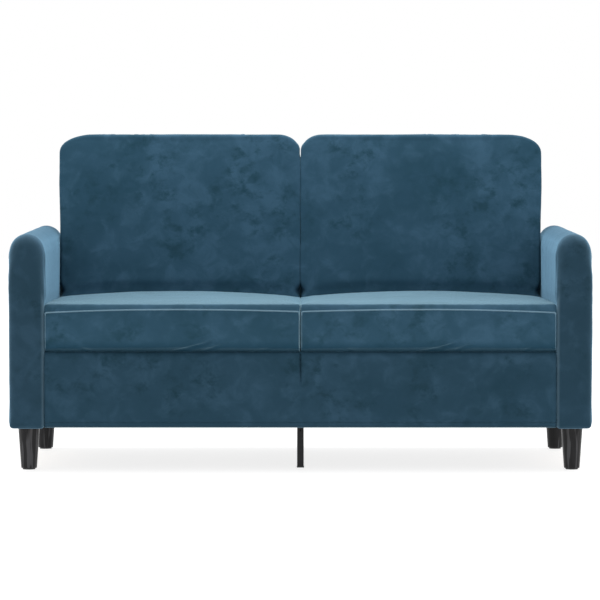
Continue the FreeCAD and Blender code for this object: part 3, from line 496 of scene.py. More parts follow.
def seat_relief(co, normal):
    """Fine creases on a seat cushion."""
    _, y, z = co.T
    front = np.clip(-normal[:, 1], 0, 1) * smooth(SEAT_LOW.y + 0.03, SEAT_LOW.y + 0.01, y)
    top = np.clip(normal[:, 2], 0, 1)
    run = y - SEAT_LOW.y
    height = z - DECK
    amount = 0.5 * MM * cloud(co, 0.09, 1)
    amount += front * pulls(co, SEAT_PULLS)
    ripple = cloud(co * (1, 0.3, 0.45), 0.011, 2, 1) * smooth(0.045, 0.004, height)
    amount += front * 0.55 * MM * ripple
    gather = cloud(co * (1, 0.25, 1), 0.012, 3, 1) * hump(run, 14 * MM, 14 * MM)
    amount += top * 0.45 * MM * gather
    return amount + top * 0.9 * MM * cloud(co, 0.16, 4) * smooth(0.02, 0.1, run)


# ---- back cushions
def back_lattice():
    xs = lattice_lines(BACK_LOW.x, BACK_HIGH.x)
    ys = lattice_lines(0, BACK_DEPTH)
    zs = lattice_lines(BACK_LOW.z, BACK_HIGH.z - BACK_TOP_DROP)
    lattice = Lattice(xs, ys, zs)
    foot = (12 * MM, 12 * MM)
    corners = (foot, foot, BACK_OUTER_CORNER, BACK_INNER_CORNER)
    p = round_block(lattice, corners, BACK_FRONT_EDGE, BACK_REAR_EDGE)
    x, y, z = p.T
    share = y / BACK_DEPTH
    up = smooth(ARM_HIGH.z - 0.02, ARM_HIGH.z + 0.12, z)
    x += BACK_SPREAD * up * (x - BACK_LOW.x) / (BACK_HIGH.x - BACK_LOW.x)
    y[:] = mix(back_front(z), back_rear(z), share)
    tuck = hump(z, SEAT_CROWN, 13 * MM) * smooth(0.3, 0, share)
    draw_in(p, BACK_LOW.x, BACK_HIGH.x, tuck, 12 * MM, (9 * MM, 6 * MM, 0))
    return lattice, p


def hold_back(co, mirrored, pull=0.0):
    z = co[:, 2]
    outer = BACK_HIGH.x + (BACK_SPREAD + 2 * MM) * smooth(ARM_HIGH.z - 0.03, ARM_HIGH.z + 0.03, z)
    front = back_front(z) - 16 * MM * smooth(SEAT_CROWN - 4 * MM, SEAT_CROWN + 0.07, z)
    rear = back_rear(z) + 6 * MM * smooth(BACK_LOW.z, BACK_LOW.z + 0.06, z)
    gap = mix(TOUCH, BACK_GAP, smooth(BACK_NOTCH, BACK_NOTCH + 0.02, z))
    return hold_inside(co, mirrored, outer, front, rear, BACK_LOW.z, gap, pull)


# Places along X where the cloth is bunched under the top seam, with the bunch's half-width.
TOP_BUNCHES = (
    (-0.480, 0.016), (-0.418, 0.014), (-0.383, 0.018), (-0.140, 0.012),
    (0.092, 0.012), (0.330, 0.014), (0.398, 0.020), (0.470, 0.014),
)


def back_relief(co, normal):
    """Seam valleys, bunched cloth and soft dents on a back cushion."""
    x, y, z = co.T
    share = (y - back_front(z)) / (back_rear(z) - back_front(z))
    top = smooth(BACK_HIGH.z - 0.05, BACK_HIGH.z - 0.004, z)
    amount = 0.9 * MM * cloud(co, 0.15, 11) + 0.3 * MM * cloud(co, 0.035, 12)
    bunch = sum(hump(x, place, width) for place, width in TOP_BUNCHES)
    crimp = cloud(co * (1, 0.12, 0.2), 0.0065, 13, 1)
    amount += 2.4 * MM * crimp * bunch * top * smooth(0.75, 0.3, share)
    edge_crimp = cloud(co * (1, 0.3, 1), 0.012, 14, 1)
    sideways = np.clip(1 - np.abs(normal[:, 1]), 0, 1)
    amount += 0.35 * MM * edge_crimp * hump(share, 0.13, 0.1) * sideways
    for seam in (0.10, 0.86):
        amount -= 0.9 * MM * hump(share, seam, 0.014) * sideways
    foot = smooth(BACK_LOW.z + 0.16, BACK_LOW.z + 0.1, z) * smooth(0.2, 0, share)
    return amount + 0.7 * MM * foot * cloud(co * (1, 1, 0.4), 0.03, 15)


# ---- arms
def arm_lattice():
    xs = lattice_lines(ARM_LOW.x, ARM_HIGH.x, step=5 * MM)
    ys = lattice_lines(ARM_LOW.y, ARM_HIGH.y, rim=38.5 * MM)
    zs = lattice_lines(ARM_LOW.z, ARM_HIGH.z)
    lattice = Lattice(xs, ys, zs)
    half = (ARM_HIGH.x - ARM_LOW.x) / 2
    x, z = lattice.points[:, 0], lattice.points[:, 2]
    inner = mix(ARM_LOW_EDGE, ARM_INNER_EDGE, smooth(SEAT_SIDE - 0.01, SEAT_SIDE + 0.04, z))
    edge = mix(inner, ARM_OUTER_EDGE, smooth(ARM_LOW.x, ARM_HIGH.x, x))
    edge = mix(edge, ARM_TOP_EDGE, smooth(ARM_HIGH.z - 0.10, ARM_HIGH.z - 0.03, z))
    edge = mix(edge, np.minimum(edge, ARM_FOOT_EDGE), smooth(0.035, 0, z - ARM_LOW.z))
    rear_edge = np.minimum(edge, ARM_REAR_EDGE)
    small = (ARM_FOOT_EDGE, ARM_FOOT_EDGE)
    large = (half, ARM_TOP_RISE)
    p = round_block(lattice, (small, small, large, large), edge, rear_edge)
    _, y, z = p.T
    rise = smooth(ARM_LOW.y + 0.1, ARM_HIGH.y, y) * smooth(ARM_HIGH.z - 0.08, ARM_HIGH.z, z)
    z += 2 * MM * rise
    return lattice, p


def open_underside(obj):
    """Cut the opening that an arm's hem leaves underneath, and give the cover its thickness."""
    keep = []
    co = coords_of(obj)
    x0, x1 = ARM_LOW.x + ARM_HEM, ARM_HIGH.x - ARM_HEM
    y0, y1 = ARM_LOW.y + ARM_HEM, ARM_HIGH.y - ARM_HEM
    for polygon in obj.data.polygons:
        x, y, z = co[list(polygon.vertices)].mean(0)
        hole = z < ARM_LOW.z + 1 * MM and x0 < abs(x) < x1 and y0 < y < y1
        if not hole:
            keep.append(list(polygon.vertices))
    used = sorted({v for face in keep for v in face})
    number = {v: n for n, v in enumerate(used)}
    mesh = bpy.data.meshes.new(obj.name)
    mesh.from_pydata(co[used].tolist(), [], [[number[v] for v in face] for face in keep])
    mesh.update()
    obj.data = mesh
    give_thickness(obj, CLOTH)


def hold_arm(co, mirrored):
    """Keep an arm's inner side flat against the seat, the base and the back."""
    sign = -1 if mirrored else 1
    y, z = co[:, 1], co[:, 2]
    free = smooth(SEAT_SIDE, SEAT_SIDE + 0.03, z) * smooth(0, -0.04, y - back_front(z))
    free = np.maximum(free, smooth(SEAT_LOW.y + 12 * MM, SEAT_LOW.y, y))
    co[:, 0] = press(co[:, 0] * sign, ARM_LOW.x - 3 * MM * free, 1) * sign
    co[:, 2] = press(z, ARM_LOW.z, 1)
    return co


def arm_relief(co, normal):
    """Soft dents on an arm."""
    _, y, z = co.T
    side = np.abs(normal[:, 0])
    height = (z - ARM_LOW.z) / (ARM_HIGH.z - ARM_LOW.z)
    amount = 0.8 * MM * cloud(co, 0.14, 21) + 0.25 * MM * cloud(co, 0.04, 22)
    amount += 0.35 * MM * side * cloud(co * (1, 1, 0.25), 0.03, 23)
    corner = hump(y, ARM_LOW.y + 12 * MM, 16 * MM) * smooth(0.86, 0.97, height)
    amount += 0.6 * MM * corner * cloud(co * (1, 0.3, 0.5), 0.010, 24, 1)
    return amount * smooth(0.0, 0.03, height)


# ---- front and rear panels
def swept_panel(name, profile, x0, x1, shape, extra=()):
    """Sheet made by moving a (y, z) profile along X; shape moves the points afterwards."""
    xs = np.union1d(lattice_lines(x0, x1, step=6 * MM, rim=14 * MM, rim_step=2 * MM), extra)
    points = np.array([(x, y, z) for x in xs for y, z in profile])
    return make_mesh(name, shape(points), grid_faces(len(xs), len(profile)))


def bend(start, corner, end, steps):
    """Points of a rounded corner from start to end, pulled towards corner."""
    t = np.linspace(0, 1, steps + 1)[:, None]
    a, b, c = np.array([start, corner, end])
    return [tuple(point) for point in (1 - t) ** 2 * a + 2 * t * (1 - t) * b + t * t * c]


def run_between(start, end, step):
    count = max(1, round(math.dist(start, end) / step))
    return [
        (mix(start[0], end[0], n / count), mix(start[1], end[1], n / count)) for n in range(1, count)
    ]


def rounded_end(x, end, radius=8 * MM):
    """How far a panel's face draws back at x, close to its end."""
    t = np.clip((x - end + radius) / radius, 0, 0.999)
    return radius * (1 - np.sqrt(1 - t * t))


def end_strips(name, x_end, y0, y1):
    """Cloth wrapped round both ends of the base, in the narrow gap beside each arm."""
    ys = np.linspace(y0, y1, 7)
    zs = np.linspace(FRONT_LOW.z + 2 * MM, DECK - 12 * MM, 25)
    points, faces = [], []
    for sign in (-1, 1):
        quads = grid_faces(len(ys), len(zs), len(points))
        faces += quads if sign > 0 else [quad[::-1] for quad in quads]
        points += [(sign * (x_end + 0.15 * MM), y, z) for y in ys for z in zs]
    return give_thickness(make_mesh(name, points, faces), 0.3 * MM, 0)


def panel_shape(points):
    """Swell, pulls and the pinch below the gap between the seats, on the front panel's face."""
    x, y, z = points.T
    height = (z - FRONT_LOW.z) / (FRONT_HIGH.z - FRONT_LOW.z)
    face = smooth(FRONT_LOW.y + 10 * MM, FRONT_LOW.y + 2 * MM, y)
    swell = np.sin(np.pi * np.clip(height, 0, 1)) ** 0.6
    out = 0.8 * MM * swell - 1.2 * MM - rounded_end(np.abs(x), FRONT_HIGH.x)
    out += 0.8 * MM * cloud(points, 0.13, 31) + 0.3 * MM * cloud(points, 0.04, 32)
    pinch = hump(x, meeting_x(FRONT_LOW.y, z), PINCH_HALF) * smooth(0.5, 0.85, height) ** 0.7
    out -= PINCH_DEPTH * pinch
    y -= face * out
    return points


def make_front_panel():
    y, z0, z1 = FRONT_LOW.y, FRONT_LOW.z, FRONT_HIGH.z
    hem = FRONT_HIGH.y
    profile = [(y + run, z1 + crease_lift(run) - 1 * MM) for run in np.arange(24, 14, -2.5) * MM]
    start = (y + 13 * MM, z1 + crease_lift(13 * MM) - 0.8 * MM)
    profile += bend(start, (y + 1 * MM, z1 + 2 * MM), (y, z1 - 16 * MM), 10)
    profile += run_between((y, z1 - 16 * MM), (y, z0 + 16 * MM), 5 * MM)
    profile += [(y, z0 + 16 * MM), (y + 0.2 * MM, z0 + 14 * MM), (y + 2.4 * MM, z0 + 12.5 * MM)]
    profile += [(y + 0.2 * MM, z0 + 11 * MM)]
    profile += bend((y - 0.2 * MM, z0 + 9 * MM), (y - 0.2 * MM, z0 + 3.5 * MM), (y + 18 * MM, z0), 6)
    profile += run_between((y + 19 * MM, z0), (hem, z0), 8 * MM) + [(hem, z0)]
    beside_pinch = np.array([-8, -5, -3, -1.5, 0, 1.5, 3, 5, 8]) * MM
    obj = swept_panel("front_panel", profile, FRONT_LOW.x, FRONT_HIGH.x, panel_shape, beside_pinch)
    subdivide(obj)
    co = coords_of(obj)
    height = (co[:, 2] - z0) / (z1 - z0)
    face = smooth(y + 12 * MM, y + 5 * MM, co[:, 1])
    crimp = cloud(co * (1, 0.3, 0.4), 0.013, 33, 1)
    co[:, 1] -= face * (pulls(co, PANEL_PULLS) + 0.5 * MM * crimp * smooth(0.75, 1.0, height))
    set_coords(obj, co)
    return give_thickness(obj, CLOTH)


def rear_shape(points):
    _, y, z = points.T
    height = (z - REAR_LOW.z) / (REAR_HIGH.z - REAR_LOW.z)
    face = smooth(REAR_HIGH.y - 4 * MM, REAR_HIGH.y - 0.5 * MM, y)
    out = 0.8 * MM * cloud(points, 0.14, 41) + 0.5 * MM * cloud(points * (1, 1, 0.3), 0.035, 42)
    near_hem = smooth(0.8, 1, height) + smooth(0.2, 0, height)
    tension = cloud(points * (1, 1, 0.25), 0.02, 43, 1) * near_hem
    y += face * (out + 0.5 * MM * tension)
    return points


def make_rear_panel():
    y, z0, z1 = REAR_HIGH.y, REAR_LOW.z, REAR_HIGH.z
    hem = REAR_LOW.y
    profile = [(hem + 18 * MM, z1), (y - 10 * MM, z1)]
    profile += bend((y - 4 * MM, z1), (y, z1), (y, z1 - 4 * MM), 4)
    profile += run_between((y, z1 - 4 * MM), (y, z0 + 5 * MM), 7 * MM)
    profile += bend((y, z0 + 5 * MM), (y, z0), (y - 5 * MM, z0), 4)
    profile += run_between((y - 5 * MM, z0), (hem, z0), 8 * MM) + [(hem, z0)]
    profile = profile[::-1]
    obj = swept_panel("rear_panel", profile, REAR_LOW.x, REAR_HIGH.x, rear_shape)
    return give_thickness(subdivide(obj), CLOTH)


# ---- dust sheet under the base
def make_dust_sheet():
    low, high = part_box("dust_cover")
    plate_low, plate_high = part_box("centre_leg_plate")
    margin = 2 * MM
    xs = np.union1d(np.linspace(low.x, high.x, 121), [plate_low.x - margin, plate_high.x + margin])
    ys = np.union1d(np.linspace(low.y, high.y, 61), [plate_low.y - margin, plate_high.y + margin])
    points = np.array([(x, y, high.z - 0.2 * MM) for x in xs for y in ys])
    x, y, z = points.T
    inset = smooth(0, 0.05, np.min([x - low.x, high.x - x, y - low.y, high.y - y], 0))
    from_plate = smooth(0.03, 0.12, np.hypot(x, y - (plate_low.y + plate_high.y) / 2))
    sag = 1.6 * MM * (1 + cloud(points, 0.25, 51)) + 0.5 * MM * cloud(points * (1, 0.3, 1), 0.05, 52)
    z -= np.clip(sag, 0, None) * inset * from_plate
    faces = []
    for face in grid_faces(len(xs), len(ys)):
        x, y, _ = points[face].mean(0)
        beside_plate = not plate_low.x - margin < x < plate_high.x + margin
        if beside_plate or not plate_low.y - margin < y < plate_high.y + margin:
            faces.append(face[:1] + face[:0:-1])
    obj = make_mesh("dust_sheet", points, faces)
    give_thickness(obj, 0.5 * MM)
    size = (high.x - low.x, high.y - low.y)
    return obj, size


# ---- welts, thread and staples
def ring_faces(count, sides, first=0):
    """Quads between the rings of points along a tube."""
    return [
        (row + s, row + (s + 1) % sides, row + sides + (s + 1) % sides, row + sides + s)
        for row in range(first, first + (count - 1) * sides, sides)
        for s in range(sides)
    ]


def tube(name, path, radii, mirrored, sides=8):
    """Closed tube along a path, with a radius for each of its points."""
    along = np.gradient(path, axis=0)
    along /= np.linalg.norm(along, axis=1, keepdims=True)
    up = np.array([0, -0.7, 0.7])
    across = np.cross(along, up)
    across /= np.linalg.norm(across, axis=1, keepdims=True)
    other = np.cross(across, along)
    angles = np.linspace(0, 2 * math.pi, sides, endpoint=False)
    rings = [
        path[n] + radii[n] * (np.cos(a) * across[n] + np.sin(a) * other[n])
        for n in range(len(path))
        for a in angles
    ]
    faces = ring_faces(len(path), sides)
    last = (len(path) - 1) * sides
    faces += [tuple(range(sides))[::-1], tuple(range(last, last + sides))]
    return make_mesh(name, rings, faces, mirrored)


def even_path(points, step):
    """The same line with points at even distances."""
    lengths = np.concatenate([[0], np.cumsum(np.linalg.norm(np.diff(points, axis=0), axis=1))])
    count = max(2, round(lengths[-1] / step))
    places = np.linspace(0, lengths[-1], count + 1)
    return np.stack([np.interp(places, lengths, points[:, a]) for a in range(3)], 1)


def make_welt(side, mirrored, lattice, p):
    """Piped seam round the front face of a seat, thinner where it runs upright."""
    line = p[seat_seam_line(lattice)]
    line = line[line[:, 2] > DECK + 7 * MM]
    path = even_path(line, THREAD_PITCH / 4)
    for _ in range(3):
        path[1:-1] = (path[:-2] + 2 * path[1:-1] + path[2:]) / 4
    middle = (SEAT_LOW.x + SEAT_HIGH.x) / 2
    reach = (SEAT_HIGH.x - SEAT_LOW.x) / 2 - WELT_INSET
    path[:, 0] = np.clip(path[:, 0], middle - reach, middle + reach)
    path[:, 1] -= 0.8 * MM
    across = smooth(SEAM_ARM - 12 * MM, SEAM_ARM - 3 * MM, path[:, 2])
    path[:, 2] -= 0.4 * MM * across
    wave = 1 + 0.05 * np.cos(2 * np.pi * np.arange(len(path)) / 4)
    ends = smooth(0, 8, np.minimum(np.arange(len(path)), np.arange(len(path))[::-1]))
    radii = WELT_RADIUS * (wave * mix(0.35, 1, ends) * mix(0.36, 1, across))
    return tube(f"seat_welt_{side}", path, radii, mirrored)


def make_staples():
    """Wire staples through the hems under the base and the arms."""
    x_axis, y_axis, up = np.eye(3)
    places = [
        (x, y, FRONT_LOW.z, x_axis)
        for y in (FRONT_HIGH.y - 12 * MM, REAR_LOW.y + 12 * MM)
        for x in np.arange(FRONT_LOW.x + 0.03, FRONT_HIGH.x - 0.02, 0.045)
    ] + [
        (sign * x, y, ARM_LOW.z, y_axis)
        for sign in (-1, 1)
        for x in (ARM_LOW.x + 11 * MM, ARM_HIGH.x - 11 * MM)
        for y in np.arange(ARM_LOW.y + 0.03, ARM_HIGH.y - 0.02, 0.05)
    ]
    rings, faces = [], []
    for x, y, z, along in places:
        middle, lift = np.array([x, y, z - 0.3 * MM]), STAPLE_LEG * up
        a, b = middle - along * STAPLE_HALF, middle + along * STAPLE_HALF
        crown = [mix(a, b, 0.06), mix(a, b, 0.94)]
        path = [a + lift, a + lift * 0.2, *crown, b + lift * 0.2, b + lift]
        side = np.cross(along, up)
        base = len(rings)
        for n, place in enumerate(path):
            bent = up if 0 < n < 5 else along
            for s, t in ((-1, -1), (1, -1), (1, 1), (-1, 1)):
                rings.append(place + STAPLE_WIRE * (s * side + t * bent))
        faces += ring_faces(6, 4, base)
        faces += [(base + 3, base + 2, base + 1, base), tuple(range(base + 20, base + 24))]
    return make_mesh("hem_staples", rings, faces)


# ---- materials
class Shader:
    """A Principled material and the short calls that wire its nodes."""

    def __init__(self, name, roughness, **constants):
        self.material = bpy.data.materials.new(name)
        self.material.use_nodes = True
        self.nodes = self.material.node_tree.nodes
        self.links = self.material.node_tree.links
        self.surface = self.nodes["Principled BSDF"]
        self.surface.inputs["Roughness"].default_value = roughness
        for socket, value in constants.items():
            self.surface.inputs[socket.replace("_", " ")].default_value = value
        self.place = self.nodes.new("ShaderNodeTexCoord").outputs["Object"]

    def add(self, kind, inputs, **settings):
        """New node: inputs gives its sockets' values or sources, settings its own properties."""
        node = self.nodes.new("ShaderNode" + kind)
        for name, value in settings.items():
            setattr(node, name, value)
        for socket, value in inputs.items():
            if isinstance(value, bpy.types.NodeSocket):
                self.links.new(value, node.inputs[socket])
            else:
                node.inputs[socket].default_value = value
        return node.outputs

    def stretched(self, scale, turn=(0, 0, 0)):
        inputs = {"Vector": self.place, "Scale": scale, "Rotation": turn}
        return self.add("Mapping", inputs)["Vector"]

    def coordinates(self):
        outputs = self.add("SeparateXYZ", {"Vector": self.place})
        return [outputs[axis] for axis in "XYZ"]

    def noise(self, scale, detail=2.0, rough=0.5, distortion=0.0, vector=None):
        inputs = {"Vector": vector or self.place, "Scale": scale, "Detail": detail,
                  "Roughness": rough, "Distortion": distortion}
        return self.add("TexNoise", inputs)["Fac"]

    def wave(self, scale, direction, distortion=0.0, vector=None, profile="SIN"):
        inputs = {"Vector": vector or self.place, "Scale": scale, "Distortion": distortion}
        return self.add("TexWave", inputs, bands_direction=direction, wave_profile=profile)["Fac"]

    def remap(self, value, low, high, out_low=0.0, out_high=1.0):
        inputs = {"Value": value, "From Min": low, "From Max": high,
                  "To Min": out_low, "To Max": out_high}
        return self.add("MapRange", inputs, interpolation_type="SMOOTHSTEP")["Result"]

    def math(self, operation, a, b=0.0):
        return self.add("Math", {0: a, 1: b}, operation=operation)["Value"]

    def blend(self, factor, a, b):
        """Colour a where factor is 0 and b where it is 1; either may be a plain colour."""
        a, b = ((*colour, 1) if isinstance(colour, tuple) else colour for colour in (a, b))
        return self.add("Mix", {0: factor, 6: a, 7: b}, data_type="RGBA")[2]

    def finished(self, colour, roughness, bumps):
        """Wire the surface; each bump is (height, distance in metres, strength)."""
        normal = {}
        for height, distance, strength in bumps:
            inputs = {"Height": height, "Distance": distance, "Strength": strength, **normal}
            normal = {"Normal": self.add("Bump", inputs)["Normal"]}
        for socket, source in {"Base Color": colour, "Roughness": roughness, **normal}.items():
            if source is not None:
                self.links.new(source, self.surface.inputs[socket])
        return self.material


VELVET_MID = (0.024, 0.075, 0.125)
VELVET_LIGHT = (0.043, 0.104, 0.164)
VELVET_DARK = (0.010, 0.044, 0.068)
# pale blue-grey used for painted highlights
VELVET_PAINTED_HIGHLIGHT = (0.20, 0.31, 0.38)
CREASE_SHADE_SHARE = (0.2, 0.75, 0.9)  # of the dark tone's red, green and blue, for the painted shade in a crease


def velvet_material(name, tone, sheen, spread, creases=(), tint=(0.46, 0.81, 1.0), painted_pale=0.0,
                    edge=False):
    """Short-pile velvet: brushed patches, darker finger marks, a fine pile and sheen.

    tone scales its colour; sheen, spread and tint are the sheen's weight, width and colour. Painted
    shade darkens it in bands along creases, each (height, half-width, strength); the pale mix paints
    a highlight over it, and edge paints a pale highlight along the inner edge of the arms' fronts."""
    # painted highlight: the pale mix moves all three tones towards a pale blue-grey
    mid, light, dark = (
        tuple(mix(c * tone, pale, painted_pale) for c, pale in zip(colour, VELVET_PAINTED_HIGHLIGHT))
        for colour in (VELVET_MID, VELVET_LIGHT, VELVET_DARK)
    )
    s = Shader(name, 0.85, Sheen_Weight=sheen, Sheen_Roughness=spread, Sheen_Tint=(*tint, 1),
               Specular_IOR_Level=0.15)
    broad = s.noise(6.5, 3, 0.55, 0.4)
    patches = s.noise(21, 4, 0.58, 0.5)
    marks = s.noise(25, 5, 0.66, 0.2, s.stretched((1, 1, 1.25), (0, 0.6, 0)))
    zones = s.noise(5.5, 1, 0.5)
    pile = s.noise(1500, 2, 0.7)
    brushed = s.math("ADD", s.math("MULTIPLY", broad, 0.5), s.math("MULTIPLY", patches, 0.5))
    shade = s.blend(s.remap(brushed, 0.37, 0.63), dark, light)
    cloudy = s.blend(s.remap(patches, 0.3, 0.7, 0.3, 0.85), mid, shade)
    fingers = s.math("MULTIPLY", s.remap(marks, 0.46, 0.72), s.remap(zones, 0.42, 0.58))
    marked = s.blend(s.math("MULTIPLY", fingers, 0.95), cloudy, dark)
    x, y, z = s.coordinates()
    # painted shade: bands along the creases darken the colour towards this deep blue
    crease_shade = tuple(c * share for c, share in zip(dark, CREASE_SHADE_SHARE))
    for height, width, strength in creases:
        away = s.math("ABSOLUTE", s.math("SUBTRACT", z, height))
        marked = s.blend(s.remap(away, 0, width, strength, 0), marked, crease_shade)
    # painted highlight: a pale band along the arms' inner front edge, where the rounded edge catches
    # light
    if edge:
        inner = s.remap(s.math("ABSOLUTE", x), ARM_LOW.x + 9 * MM, ARM_LOW.x + 2 * MM)
        front = s.remap(y, ARM_LOW.y + 14 * MM, ARM_LOW.y + 6 * MM, 0, 0.22)
        marked = s.blend(s.math("MULTIPLY", inner, front), marked, VELVET_PAINTED_HIGHLIGHT)
    colour = s.blend(s.remap(pile, 0.3, 0.75, 0, 0.35), marked, dark)
    rough = s.remap(patches, 0.3, 0.7, 0.78, 0.92)
    return s.finished(colour, rough, [(patches, 0.004, 0.18), (pile, 0.0006, 0.35)])


def grained_wood(name, axis, dark, light, roughness):
    """Planed board with its grain along axis."""
    s = Shader(name, roughness)
    along = [1, 1, 1]
    along[axis] = 0.05
    vector = s.stretched(tuple(along))
    rings = s.wave(22, "DIAGONAL", 6.0, vector, "SAW")
    fibre = s.noise(420, 3, 0.6, 0, vector)
    knots = s.noise(5, 2, 0.5, 1.5, vector)
    base = s.blend(s.remap(rings, 0.1, 1, 0, 0.7), light, dark)
    base = s.blend(s.remap(fibre, 0.35, 0.7, 0, 0.4), base, dark)
    colour = s.blend(s.remap(knots, 0.62, 0.75, 0, 0.5), base, dark)
    rough = s.remap(fibre, 0.3, 0.7, roughness - 0.08, roughness + 0.12)
    return s.finished(colour, rough, [(fibre, 0.0004, 0.25)])


def black_wood():
    """Turned wood under black stain and satin lacquer: the grain shows only in the gloss. Lighter
    upright streaks in the colour are painted reflections.
    """
    s = Shader("black_wood", 0.38, Coat_Weight=0.06, Coat_Roughness=0.22, Specular_IOR_Level=0.2)
    vector = s.stretched((1, 1, 0.05))
    grain = s.noise(260, 4, 0.6, 0.3, vector)
    pores = s.noise(900, 2, 0.6, 0, vector)
    # painted reflections: lighter upright streaks painted into the colour
    painted_reflections = s.noise(95, 2, 0.5, 0, vector)
    shade = s.blend(s.remap(grain, 0.35, 0.7), (0.003, 0.003, 0.004), (0.009, 0.009, 0.010))
    colour = s.blend(s.remap(painted_reflections, 0.52, 0.62, 0, 0.9), shade, (0.052, 0.052, 0.056))
    rough = s.remap(grain, 0.3, 0.7, 0.28, 0.42)
    return s.finished(colour, rough, [(grain, 0.0003, 0.2), (pores, 0.0002, 0.15)])


def flecked_material(name, roughness, texture, bump, flecks, share, colours, gloss, **constants):
    """Fine texture with rougher flecks of a second colour: texture and flecks are noises, bump
    the texture's depth and strength, share the flecks' weight, gloss the roughness range."""
    s = Shader(name, roughness, **constants)
    spots = s.noise(*flecks)
    colour = s.blend(s.remap(spots, *share), *colours)
    return s.finished(colour, s.remap(spots, 0.3, 0.7, *gloss), [(s.noise(*texture), *bump)])


def coated_steel():
    return flecked_material(
        "black_steel", 0.5, (700, 2, 0.5), (0.0002, 0.3), (90, 4, 0.65, 0.6), (0.62, 0.8, 0, 0.5),
        ((0.006, 0.006, 0.007), (0.03, 0.03, 0.03)), (0.42, 0.56), Specular_IOR_Level=0.3)


def moulded_plastic():
    return flecked_material(
        "nylon", 0.5, (1100, 2, 0.5), (0.0002, 0.3), (120, 3, 0.6), (0.55, 0.8, 0, 0.5),
        ((0.016, 0.016, 0.017), (0.05, 0.05, 0.05)), (0.42, 0.6))


def hardboard_material():
    chips = (260, 4, 0.7, 0.5)
    return flecked_material(
        "hardboard", 0.7, chips, (0.0004, 0.3), chips, (0.3, 0.7),
        ((0.14, 0.075, 0.035), (0.24, 0.14, 0.07)), (0.6, 0.8))


def bare_steel(name, tint, roughness):
    s = Shader(name, roughness, Metallic=1.0)
    brushed = s.noise(300, 3, 0.6, 0, s.stretched((1, 1, 0.15)))
    stains = s.noise(45, 3, 0.6)
    darker = tuple(c * 0.6 for c in tint)
    colour = s.blend(s.remap(stains, 0.45, 0.75), tint, darker)
    rough = s.remap(brushed, 0.3, 0.7, roughness - 0.08, roughness + 0.12)
    return s.finished(colour, rough, [(brushed, 0.0001, 0.2)])


def spun_cloth():
    """Black spun-bonded cloth with its grid of small welds."""
    s = Shader("dust_cloth", 0.8, Specular_IOR_Level=0.25)
    dots = s.math("MULTIPLY", s.wave(140, "X"), s.wave(140, "Y"))
    fibre = s.noise(800, 3, 0.7)
    folds = s.noise(14, 3, 0.6)
    shade = s.blend(s.remap(fibre, 0.3, 0.7), (0.010, 0.010, 0.011), (0.030, 0.030, 0.032))
    colour = s.blend(s.remap(folds, 0.4, 0.7, 0, 0.5), shade, (0.040, 0.040, 0.042))
    rough = s.remap(fibre, 0.3, 0.7, 0.7, 0.9)
    return s.finished(colour, rough, [(dots, 0.0004, 0.4), (fibre, 0.0003, 0.3)])


def felt_material():
    s = Shader("felt", 0.95)
    fibre = s.noise(500, 4, 0.7, 1)
    flecks = s.noise(160, 3, 0.7)
    shade = s.blend(s.remap(fibre, 0.3, 0.7), (0.10, 0.10, 0.095), (0.28, 0.27, 0.25))
    colour = s.blend(s.remap(flecks, 0.62, 0.7, 0, 0.8), shade, (0.30, 0.12, 0.08))
    return s.finished(colour, s.remap(fibre, 0.3, 0.7, 0.88, 1), [(fibre, 0.001, 0.5)])


def webbing_material():
    s = Shader("webbing", 0.8)
    warp, weft = s.wave(95, "X"), s.wave(60, "Z")
    weave = s.math("MULTIPLY", warp, weft)
    colour = s.blend(s.remap(weave, 0.1, 0.8), (0.012, 0.012, 0.013), (0.06, 0.06, 0.065))
    return s.finished(colour, s.remap(weave, 0, 1, 0.7, 0.9), [(weave, 0.0006, 0.6)])


def floor_material():
    s = Shader("floor", 0.75, Emission_Color=(1, 1, 1, 1), Emission_Strength=0.8)
    stain = s.noise(0.9, 3, 0.5)
    colour = s.blend(s.remap(stain, 0.3, 0.7), (0.27, 0.27, 0.27), (0.3, 0.3, 0.3))
    return s.finished(colour, None, [(s.noise(60, 3, 0.5), 0.0005, 0.1)])


def paint(obj, material):
    obj.data.materials.clear()
    obj.data.materials.append(material)


def dress(pieces, material):
    """Give new pieces their material and the body that they ride on."""
    for obj in pieces:
        paint(obj, material)
        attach(obj, "root")


def paint_nodes(names, material):
    for name in names:
        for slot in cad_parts[name].material_slots:
            slot.material = material


def left_and_right(*names):
    return [f"{name}_{side}" for name in names for side, _ in SIDES]


